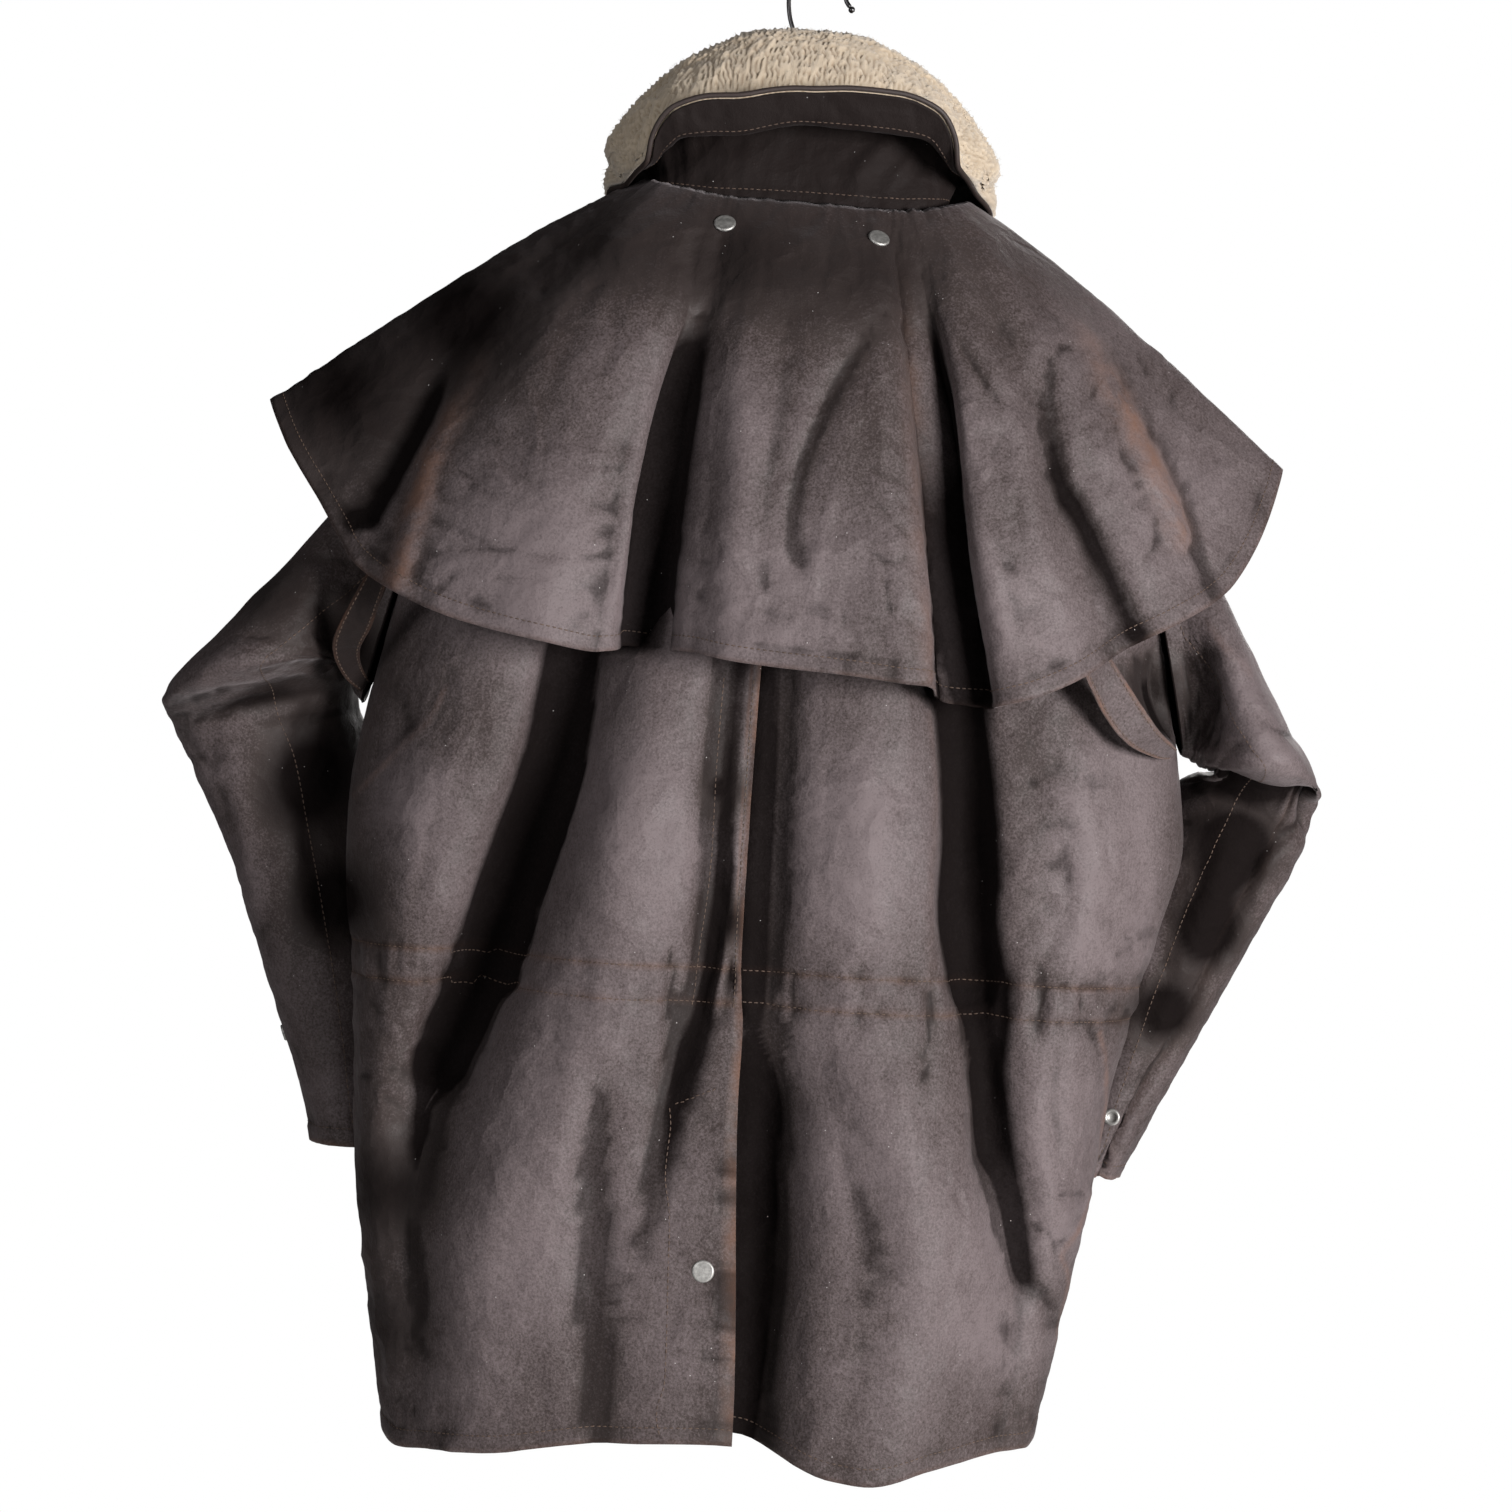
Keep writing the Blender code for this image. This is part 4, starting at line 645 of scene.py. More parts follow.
def put(tree, kind, values=None, **links):
    # one shader node; values go to its inputs and links bring other nodes' outputs to them
    node = tree.nodes.new(kind)
    for key, value in (values or {}).items():
        if isinstance(key, str) and hasattr(node, key) and key not in node.inputs:
            setattr(node, key, value)
        else:
            node.inputs[key].default_value = value
    for key, link in links.items():
        tree.links.new(link, node.inputs[int(key[1:])])
    return node


def scaled(tree, socket, low, high, start=0.0, end=1.0):
    node = put(tree, "ShaderNodeMapRange", {1: low, 2: high, 3: start, 4: end}, _0=socket)
    return node.outputs[0]


def noiseAt(tree, place, size, detail=2.0, roughness=0.5):
    values = {"Scale": size, "Detail": detail, "Roughness": roughness}
    node = put(tree, "ShaderNodeTexNoise", values, _0=place)
    return node.outputs["Fac"]


def maths(tree, operation, first, second):
    node = put(tree, "ShaderNodeMath", {"operation": operation})
    for place, value in ((0, first), (1, second)):
        if isinstance(value, (int, float)):
            node.inputs[place].default_value = value
        else:
            tree.links.new(value, node.inputs[place])
    return node.outputs[0]


def mixed(tree, share, first, second):
    node = tree.nodes.new("ShaderNodeMix")
    node.data_type = "RGBA"
    node.clamp_factor = True
    for socket, value in ((0, share), (6, first), (7, second)):
        if isinstance(value, (tuple, float, int)):
            node.inputs[socket].default_value = (*value, 1) if isinstance(value, tuple) else value
        else:
            tree.links.new(value, node.inputs[socket])
    return node.outputs[2]


waxLooks = {
    "body": (0.026, 0.0170, 0.0150),
    "bloom": (0.112, 0.088, 0.090),       # greyish film of old wax, and painted light where the cloth is lit
    # painted shade: the near-black colour of the cloth in its creases, its valleys and the deep shade
    "hollow": (0.005, 0.004, 0.004),
    "rust": (0.120, 0.056, 0.032),        # rubbed edges
    "lint": (0.46, 0.44, 0.43),
    "roughness": 0.66,
    "shine": 0.34,
    "sheen": 0.13,
}


def waxedCotton():
    material, tree, shader = newMaterial("waxedCotton")
    place = put(tree, "ShaderNodeTexCoord").outputs["Object"]
    fields = {name: put(tree, "ShaderNodeAttribute", {"attribute_name": name}).outputs["Fac"]
              for name in ("crest", "hollow", "worn", "bloom")}
    broad = noiseAt(tree, place, 7.0, 4.0, 0.55)
    patchy = noiseAt(tree, place, 38.0, 6.0, 0.65)
    grain = noiseAt(tree, place, 620.0, 2.0, 0.7)
    weave = noiseAt(tree, place, 1500.0, 2.0, 0.6)
    mottle = noiseAt(tree, place, 240.0, 3.0, 0.6)
    # wax bloom and painted light: the cloth turns greyer where the bloom field is above 0
    filmAndPaintedLight = maths(tree, "MULTIPLY", fields["bloom"], 0.85)
    filmAndPaintedLight = maths(tree, "ADD", filmAndPaintedLight, scaled(tree, broad, 0.3, 0.7, -0.05, 0.15))
    bloomAndPaintedLightShare = maths(tree, "MULTIPLY", filmAndPaintedLight, scaled(tree, patchy, 0.30, 0.64, 0.72))
    bloomAndPaintedLightShare = maths(tree, "ADD", bloomAndPaintedLightShare, maths(tree, "MULTIPLY", fields["crest"], 0.18))
    speckled = maths(tree, "ADD", bloomAndPaintedLightShare, scaled(tree, grain, 0.30, 0.70, -0.36, 0.36))
    speckled = maths(tree, "ADD", speckled, scaled(tree, mottle, 0.32, 0.68, -0.09, 0.09))
    colour = mixed(tree, speckled, waxLooks["body"], waxLooks["bloom"])
    rubbed = maths(tree, "MULTIPLY", fields["worn"], scaled(tree, patchy, 0.36, 0.60, 0.10, 0.80))
    colour = mixed(tree, rubbed, colour, waxLooks["rust"])
    # painted shade: the cloth turns near black in its small creases, deep in its valleys and where the bloom
    # field is below 0
    small = scaled(tree, fields["crest"], -0.15, -1.0, 0.0, 0.55)
    deep = maths(tree, "MAXIMUM", small, scaled(tree, fields["hollow"], 0.10, 0.90, 0.0, 0.92))
    deep = maths(tree, "MAXIMUM", deep, scaled(tree, fields["bloom"], -0.05, -1.0, 0.0, 0.90))
    colour = mixed(tree, deep, colour, waxLooks["hollow"])
    specks = put(tree, "ShaderNodeTexVoronoi", {"Scale": 150.0}, _0=place).outputs["Distance"]
    linty = scaled(tree, noiseAt(tree, place, 31.0), 0.57, 0.61)
    lint = maths(tree, "MULTIPLY", scaled(tree, specks, 0.060, 0.035), linty)
    colour = mixed(tree, lint, colour, waxLooks["lint"])
    tree.links.new(colour, shader.inputs["Base Color"])
    dull = scaled(tree, patchy, 0.35, 0.65, waxLooks["roughness"] - 0.08, waxLooks["roughness"] + 0.10)
    tree.links.new(dull, shader.inputs["Roughness"])
    # painted shade: where the cloth is darkened deep in a valley or in the deep shade, it also gives back
    # almost no shine
    for name, value in (("Specular IOR Level", waxLooks["shine"]), ("Sheen Weight", waxLooks["sheen"])):
        tree.links.new(scaled(tree, deep, 0.15, 0.90, value, 0.03 * value), shader.inputs[name])
    shader.inputs["Sheen Roughness"].default_value = 0.45
    shader.inputs["Sheen Tint"].default_value = (0.86, 0.78, 0.80, 1)
    fine = maths(tree, "ADD", maths(tree, "MULTIPLY", grain, 0.6), maths(tree, "MULTIPLY", weave, 0.4))
    bent = put(tree, "ShaderNodeTexNoise", {"Scale": 14.0, "Detail": 3.0}, _0=place).outputs["Color"]
    shifted = put(tree, "ShaderNodeVectorMath", {"operation": "SCALE", "Scale": 0.09}, _0=bent).outputs[0]
    moved = put(tree, "ShaderNodeVectorMath", {"operation": "ADD"}, _0=place, _1=shifted).outputs[0]
    facets = put(tree, "ShaderNodeTexVoronoi", {"Scale": 17.0}, _0=moved).outputs["Distance"]
    smaller = put(tree, "ShaderNodeTexVoronoi", {"Scale": 41.0}, _0=moved).outputs["Distance"]
    folded = maths(tree, "ADD", maths(tree, "MULTIPLY", facets, 0.7), maths(tree, "MULTIPLY", smaller, 0.3))
    folded = maths(tree, "ADD", folded, maths(tree, "MULTIPLY", patchy, 0.35))
    crumple = put(tree, "ShaderNodeBump", {"Strength": 0.50, "Distance": 0.0110}, _3=folded)
    bump = put(tree, "ShaderNodeBump", {"Strength": 0.55, "Distance": 0.0007}, _3=fine)
    tree.links.new(crumple.outputs[0], bump.inputs["Normal"])
    tree.links.new(bump.outputs[0], shader.inputs["Normal"])
    return material


def threadMaterial():
    material, tree, shader = newMaterial("thread")
    place = put(tree, "ShaderNodeTexCoord").outputs["Object"]
    shade = noiseAt(tree, place, 60.0, 2.0)
    colour = mixed(tree, shade, (0.030, 0.020, 0.017), (0.120, 0.075, 0.050))
    tree.links.new(colour, shader.inputs["Base Color"])
    shader.inputs["Roughness"].default_value = 0.75
    return material


def fleeceMaterial(name, deep, light):
    material, tree, shader = newMaterial(name)
    height = put(tree, "ShaderNodeAttribute", {"attribute_name": "height"}).outputs["Fac"]
    place = put(tree, "ShaderNodeTexCoord").outputs["Object"]
    tint = noiseAt(tree, place, 40.0, 3.0)
    pale = mixed(tree, scaled(tree, tint, 0.35, 0.65), light, tuple(0.86 * c for c in light))
    # painted shade: on the pile the colour goes to the darker one low between the curls; the fibres get a
    # random tone instead
    tree.links.new(mixed(tree, scaled(tree, height, 0.0, 0.75), deep, pale), shader.inputs["Base Color"])
    shader.inputs["Roughness"].default_value = 0.95
    shader.inputs["Specular IOR Level"].default_value = 0.12
    shader.inputs["Sheen Weight"].default_value = 0.35
    shader.inputs["Sheen Roughness"].default_value = 0.6
    curls = noiseAt(tree, place, 1100.0, 3.0, 0.7)
    bump = put(tree, "ShaderNodeBump", {"Strength": 0.55, "Distance": 0.0010}, _3=curls)
    tree.links.new(bump.outputs[0], shader.inputs["Normal"])
    return material


def plainMaterial(name, colour, roughness, metallic=0.0, grain=0.0, size=700.0):
    material, tree, shader = newMaterial(name)
    shader.inputs["Base Color"].default_value = (*colour, 1)
    shader.inputs["Roughness"].default_value = roughness
    shader.inputs["Metallic"].default_value = metallic
    if grain:
        place = put(tree, "ShaderNodeTexCoord").outputs["Object"]
        shade = noiseAt(tree, place, size, 4.0, 0.6)
        dark = tuple(c * (1 - grain) for c in colour)
        grained = mixed(tree, scaled(tree, shade, 0.35, 0.65), dark, colour)
        tree.links.new(grained, shader.inputs["Base Color"])
        bump = put(tree, "ShaderNodeBump", {"Strength": 0.25, "Distance": 0.0003}, _3=shade)
        tree.links.new(bump.outputs[0], shader.inputs["Normal"])
    return material


waxed = waxedCotton()
thread = threadMaterial()
piping = plainMaterial("pipingCloth", (0.030, 0.018, 0.015), 0.62, grain=0.5, size=900.0)
capMetal = plainMaterial("capMetal", (0.46, 0.45, 0.43), 0.52, 0.85, grain=0.40, size=420.0)
hookMetal = plainMaterial("hookMetal", (0.075, 0.072, 0.074), 0.32, 1.0)
fleecePile = fleeceMaterial("fleecePile", (0.29, 0.215, 0.140), (0.55, 0.450, 0.330))
fleeceFibre = fleeceMaterial("fleeceFibre", (0.42, 0.34, 0.24), (0.66, 0.57, 0.44))
barWood = plainMaterial("barWood", (0.30, 0.19, 0.10), 0.45, grain=0.35, size=60.0)
print("materials made")

# The body's surface


def outline(z, name):
    return curveThrough(np.clip(z, levels["z"][-1], levels["z"][0]), levels["z"], levels[name])


def foldDepth(x, z, side):
    total = np.zeros(np.broadcast(x, z).shape)
    for _, panel, _, width, route, depths in folds:
        if panel not in ("both", side):
            continue
        across = (x - curveThrough(z, foldLevels, route)) / width
        if panel == "right":
            across = np.maximum(across, 0)
        total = total + curveThrough(z, foldLevels, depths) * np.exp(-across ** 2)
    for x0, up, down, depth, width in zip(*gathers.values()):
        reach = np.where(z > waist, up, down)
        along = (z - waist) / (reach + casingHeight / 2)
        total = total + depth * np.exp(-along ** 2 - ((x - x0) / width) ** 2)
    return total


def section(turn, edge, middle):
    return middle + (edge - middle) * np.maximum(np.cos(turn * math.pi / 2), 0) ** (2 / roundness)


def sectionDepth(x, edge, middle, depth):
    across = np.minimum(np.abs((x - middle) / (edge - middle)), 1)
    return depth * (1 - across ** roundness) ** (1 / roundness)


def followFolds(x, side, z):
    # moves each column sideways so that it stays on its fold
    sign = -1 if side == "left" else 1
    drifting = [fold for fold in folds if fold[2] and fold[4][0] * sign > 0]
    drifting.sort(key=lambda fold: fold[4][0])
    top = [fold[4][0] for fold in drifting]
    here = np.array([curveThrough(z, foldLevels, fold[4]) for fold in drifting])
    edge, edges = float(outline(underarm, side)), outline(z, side)
    moved = np.zeros((len(z), len(x)))
    for i in range(len(z)):
        if side == "left":
            moved[i] = np.interp(x, [edge] + top + [backSeam], [edges[i], *here[:, i], backSeam])
        else:
            moved[i] = np.interp(x, [backSeam] + top + [edge], [backSeam, *here[:, i], edges[i]])
    return moved


def hemDrop(x, z, hem):
    share = np.clip((z - ventFull) / (lowest - ventFull), 0, 1)
    return share * (curveThrough(x, hem["x"], hem["z"]) - lowest)


def lowerPanel(side, part, turn, z):
    # rows at the heights z, columns at the turns
    column = z[:, None]
    sign = -1 if side == "left" else 1
    if part == "back":
        edge = outline(z, side)[:, None]
        x = followFolds(section(turn, float(outline(underarm, side)), backSeam), side, z)
        y = sectionDepth(x, edge, backSeam, outline(column, "back"))
        if side == "left":
            x = x + turn ** 4 * flapDrift * ease(ventFull, lowest, column)
        else:
            x = x - turn ** 6 * ventUnderlap * ease(ventTop, ventFull, column)
        half = casingHeight / 2
        raised = casingRise * ease(half + 0.0012, half - 0.0012, np.abs(column - waist))
        y = y + ease(0.0, 0.12, turn) * (foldDepth(x, column, side) - raised)
        hem = backHem
    else:
        middle = -sign * frontLap
        x = section(turn[None], outline(column, side), middle)
        y = sectionDepth(x, outline(column, side), middle, outline(column, "front"))
        y = y - sign * frontStep * ease(0.10, 0.03, np.abs(x))
        hem = frontHem
    return np.stack([x, y, column + hemDrop(x, column, hem)], -1)


def neckLine(side, part, share):
    sign = -1 if side == "left" else 1
    last = len(collar["seamX"]) - 1
    if part == "back":
        at = neckSideStation * (1 - share)
    else:
        at = neckSideStation + (last - neckSideStation) * np.minimum(share / frontNeckShare, 1)
    points = np.stack([curveThrough(at, range(last + 1), collar["seam" + axis]) for axis in "XYZ"], -1)
    points = points * (sign, 1, 1) + (collarMiddle, 0, -neckDrop)
    if part == "front":
        along = np.clip((share - frontNeckShare) / (1 - frontNeckShare), 0, 1)[:, None]
        points = points + (np.array([-sign * frontLap, frontNeckDepth, frontNeckHeight]) - points) * along
    return points


def shoulderSeam(side, share):
    sign = -1 if side == "left" else 1
    outer = np.array(shoulder) * (sign, 1, 1)
    return outer + (neckLine(side, "back", np.zeros(1))[0] - outer) * share[:, None]


def panelSurface(side, part, columns, yokeRows, lowerRows):
    sign = -1 if side == "left" else 1
    turn = np.linspace(0, 1, columns)
    top = np.where((2 * turn <= 1)[:, None], shoulderSeam(side, np.minimum(2 * turn, 1)),
                   neckLine(side, part, np.maximum(2 * turn - 1, 0)))
    under = lowerPanel(side, part, turn, np.array([underarm]))[0]
    armhole, bulge = (armholeBack, -bladeBulge) if part == "back" else (armholeFront, chestBulge)
    if part == "front":
        under[:, 1] += sign * frontStep * ease(0.10, 0.03, np.abs(under[:, 0]))
    down = np.linspace(0, 1, yokeRows, endpoint=False)[:, None]
    drop = down ** 1.5
    deep = down ** (0.5 + 0.5 * ease(0.4, 0.6, turn)) if part == "back" else down + 0 * turn
    yoke = top + (under - top) * np.stack([drop + 0 * turn, deep, drop + 0 * turn], -1)
    arch = 2 * np.sqrt(drop * (1 - drop))
    bulging = bulge * np.sin(math.pi * np.minimum(turn, 0.75) / 1.5)
    yoke[..., 1] += arch * (armhole * (1 - turn) ** 2 + bulging)
    if part == "front":
        yoke[..., 1] -= sign * frontStep * ease(0.10, 0.03, np.abs(yoke[..., 0]))
    grid = np.concatenate([yoke, lowerPanel(side, part, turn, np.linspace(underarm, lowest, lowerRows))])
    # no crease where the yoke meets the part below the underarm
    smooth = grid.copy()
    for _ in range(160):
        smooth[1:-1] = (smooth[:-2] + 2 * smooth[1:-1] + smooth[2:]) / 4
    near = np.exp(-((np.arange(len(grid)) - yokeRows) / (0.16 * yokeRows + 6)) ** 2)[:, None, None]
    return grid + (smooth - grid) * near


# Small dents, hems and puckers


def clothDents(u, v, seed):
    cell = clothLooks["crumpleCell"]
    dents = np.abs(rough(u, v, cell, seed)) + 0.5 * np.abs(rough(u + 0.3 * v, v, cell * 0.42, seed + 1))
    dents += 0.15 * rough(u, v, cell * 0.2, seed + 2)
    patches = ease(-0.5, 0.5, rough(u, v, cell * 3.5, seed + 3))
    return clothLooks["crumple"] * (0.25 + patches) * (dents - 0.5)


def hemShape(away, along, seed, pucker=1.0):
    # a turned hem: its stitched groove, and small puckers along it; away is the distance from the edge
    band = clothLooks["hemBand"]
    groove = clothLooks["hemGroove"] * np.exp(-((away - band) / 0.0016) ** 2)
    cell = clothLooks["puckerCell"]
    puckers = rough(along, away * 0.25, cell, seed) + 0.6 * rough(along, away * 0.2, cell * 2.7, seed + 5)
    puckers = clothLooks["pucker"] * puckers
    raised = 0.0005 * ease(band + 0.001, band - 0.002, away)
    return groove - raised + pucker * puckers * np.exp(-((away - band) / (band * 1.1)) ** 2)


# Cape

# Creases of the cape's back in the photo's pixels, and mirrored ones for its front
capeLooks = {
    "back": (
        crease(((700, 300), (678, 390), (660, 490), (648, 650)), 16.0, 11, 15, "start"),
        crease(((706, 300), (688, 390), (672, 490), (655, 650)), 9.0, 6, 12, "start"),
        crease(((664, 300), (632, 420), (612, 540), (600, 650)), 9.0, 12, 30, "start"),
        crease(((690, 230), (694, 290), (684, 360), (668, 450)), 5.0, 8, 9),
        crease(((918, 226), (928, 330), (936, 430), (946, 560), (966, 700)), 19.0, 12, 8, "start"),
        crease(((922, 230), (930, 330), (938, 430), (950, 560), (975, 700)), 10.0, 12, 6, "start"),
        crease(((903, 240), (908, 333), (917, 448), (922, 563), (927, 678)), -2.5, 4, 8, "start", rust=0.35),
        crease(((461, 324), (422, 413), (368, 511)), 9.0, 9, 12, "start"),
        crease(((500, 328), (438, 452), (418, 518), (399, 585)), -4.5, 8, 9, "start", rust=0.9),
        crease(((457, 468), (473, 483), (457, 503)), 2.0, 4, 5),
        crease(((539, 425), (546, 446), (543, 468)), 1.8, 4, 4),
        crease(((559, 445), (590, 447), (621, 454)), 1.8, 4, 4),
        crease(((605, 456), (604, 474), (601, 491)), 1.8, 4, 4),
        crease(((520, 468), (556, 473), (590, 483)), -1.5, 5, 5),
        crease(((430, 557), (485, 550), (562, 559), (613, 555)), 2.6, 6, 4),
        crease(((492, 581), (530, 578), (570, 569)), 1.7, 5, 4),
        crease(((621, 328), (609, 355), (601, 382)), 1.8, 5, 5),
        crease(((617, 277), (598, 288), (578, 301)), 1.6, 5, 5),
        crease(((560, 330), (535, 380), (500, 430)), -2.2, 12, 10),
        crease(((640, 250), (600, 330), (560, 420), (540, 520)), -2.5, 16, 14),
        crease(((891, 306), (845, 371), (803, 463), (792, 547), (811, 567)), 5.0, 12, 8),
        crease(((842, 471), (826, 524), (815, 563)), -2.2, 6, 6),
        crease(((865, 463), (891, 479), (907, 486)), 2.0, 4, 5),
        crease(((876, 498), (895, 524), (914, 547)), 2.2, 4, 5),
        crease(((865, 547), (888, 563), (910, 559)), 2.0, 4, 4),
        crease(((884, 563), (888, 597), (895, 624)), 1.7, 4, 4),
        crease(((845, 605), (844, 622), (842, 639)), 1.3, 4, 4),
        crease(((765, 570), (766, 593), (769, 616)), 1.3, 4, 4),
        crease(((740, 300), (735, 380), (742, 470), (738, 560), (735, 640)), -2.4, 16, 14),
        crease(((790, 300), (785, 400), (770, 500), (765, 600)), 2.6, 12, 12),
        crease(((949, 322), (976, 364), (1006, 410)), 2.6, 5, 7),
        crease(((953, 394), (968, 463), (983, 486)), 2.2, 5, 6),
        crease(((968, 517), (983, 547), (1002, 620), (1006, 651)), -3.0, 6, 7),
        crease(((999, 563), (1044, 590), (1075, 597)), 2.3, 5, 5),
        crease(((1067, 341), (1052, 379), (1060, 471), (1083, 513), (1110, 567), (1136, 620), (1150, 642)),
               7.5, 9, 11),
        crease(((1113, 417), (1121, 456), (1132, 471)), 2.0, 4, 5),
        crease(((1152, 513), (1155, 544), (1140, 570)), 2.2, 5, 5),
        crease(((1067, 306), (1098, 360), (1129, 425), (1152, 471), (1182, 536)),
               -4.0, 8, 9, "start", rust=0.9),
        crease(((1010, 330), (1020, 420), (1030, 520), (1040, 600)), -2.4, 14, 14),
        crease(((1000, 240), (1040, 300), (1075, 350)), 1.8, 9, 9),
        crease(((560, 255), (520, 300), (480, 350)), -1.6, 8, 10),
        crease(((1180, 500), (1200, 560), (1215, 600)), 2.5, 6, 7),
        crease(((470, 560), (440, 590), (420, 610)), 2.0, 6, 6),
        crease(((680, 240), (668, 280), (650, 330)), 1.5, 7, 7),
        crease(((830, 230), (826, 270), (815, 320)), 1.2, 6, 6),
        crease(((770, 225), (765, 262), (762, 300)), 1.1, 6, 6),
    ),
    "front": (
        crease(((905, 360), (915, 460), (925, 560), (930, 660)), 8.0, 12, 12, "start"),
        crease(((1010, 330), (1040, 430), (1060, 540), (1070, 630)), 7.0, 12, 10, "start"),
        crease(((612, 360), (600, 460), (585, 560), (580, 660)), 8.0, 12, 12, "start"),
        crease(((500, 340), (470, 430), (450, 520), (440, 600)), 7.0, 12, 12, "start"),
        crease(((850, 400), (840, 470), (850, 540)), 2.4, 6, 7),
        crease(((960, 430), (985, 470), (1020, 490)), 2.2, 5, 6),
        crease(((670, 420), (655, 500), (660, 570)), 2.4, 7, 6),
        crease(((540, 450), (510, 480), (480, 490)), 2.0, 5, 6),
        crease(((840, 600), (880, 590), (910, 600)), 1.8, 5, 5),
        crease(((620, 590), (650, 600), (690, 590)), 1.8, 5, 5),
    ),
}


def capeSurface(rows, columns):
    at = np.linspace(0, len(cape["neckX"]) - 1, columns)
    down = np.linspace(0, 1, rows)[:, None, None]
    places = range(len(cape["neckX"]))
    neck = np.stack([curveThrough(at, places, cape["neck" + axis]) for axis in "XYZ"], -1)
    hem = np.stack([curveThrough(at, places, cape["hem" + axis]) for axis in "XYZ"], -1)
    outY, outZ = (curveThrough(at, places, cape[name]) for name in ("outY", "outZ"))
    out = np.stack([0 * at, outY, outZ], -1)
    return neck + (hem - neck) * down + out * np.sin(math.pi * down ** 0.75), at, down[..., 0]


def creasedBothWays(grid, normal, looks):
    # cloth that faces the photo's eye takes the back's creases, and the rest takes the front's
    behind = ease(0.15, -0.15, normal[..., 1])
    back, front = (creasePush(photoPlaces(grid), looks[part]) for part in ("back", "front"))
    return [one * behind + other * (1 - behind) for one, other in zip(back, front)]


def makeCape():
    grid, at, down = capeSurface(96, 400)
    normal = gridNormals(grid, False, (0, -1, 0))
    push, worn = creasedBothWays(grid, normal, capeLooks)
    length = 0.33
    u = at[None, :] * 0.024 + 0 * down
    v = down * length + 0 * at[None, :]
    push += clothDents(u, v, 11)
    away = (1 - down) * length + 0 * at[None, :]
    push += hemShape(away, u, 21)
    worn = np.maximum(worn, 0.30 * np.exp(-(away / 0.0018) ** 2))
    atNeck = np.exp(-(down * length / 0.016) ** 2)
    push += 0.0007 * atNeck * rough(u, v * 0.2, 0.0100, 31)
    for edge in (0, -1):
        run = np.abs(u - u[:, edge][:, None])
        push += 0.0006 * np.exp(-((run - 0.012) / 0.0016) ** 2)
        worn = np.maximum(worn, 0.6 * np.exp(-(run / 0.002) ** 2))
    grid = grid - normal * push[..., None]
    normal = gridNormals(grid, False, (0, -1, 0))
    fields = {**reliefOf(grid, normal, False), "worn": worn, "bloom": bloomAndPaintedLightAt(photoPlaces(grid))}
    piece = shell("capeCloth", grid, normal, clothLooks["thickness"], waxed, fields=fields)
    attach(piece, "root")
    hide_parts("cape")
    row = int(round((1 - clothLooks["hemBand"] / length) * (grid.shape[0] - 1)))
    lift = clothLooks["thickness"] / 2
    lines = [(grid[row] + normal[row] * lift, normal[row])]
    for column in (6, -7):
        lines.append((grid[:, column] + normal[:, column] * lift, normal[:, column]))
    return grid, normal, lines


capeGrid, capeNormal, threadLines = makeCape()
print("cape made")

# Back and front panels

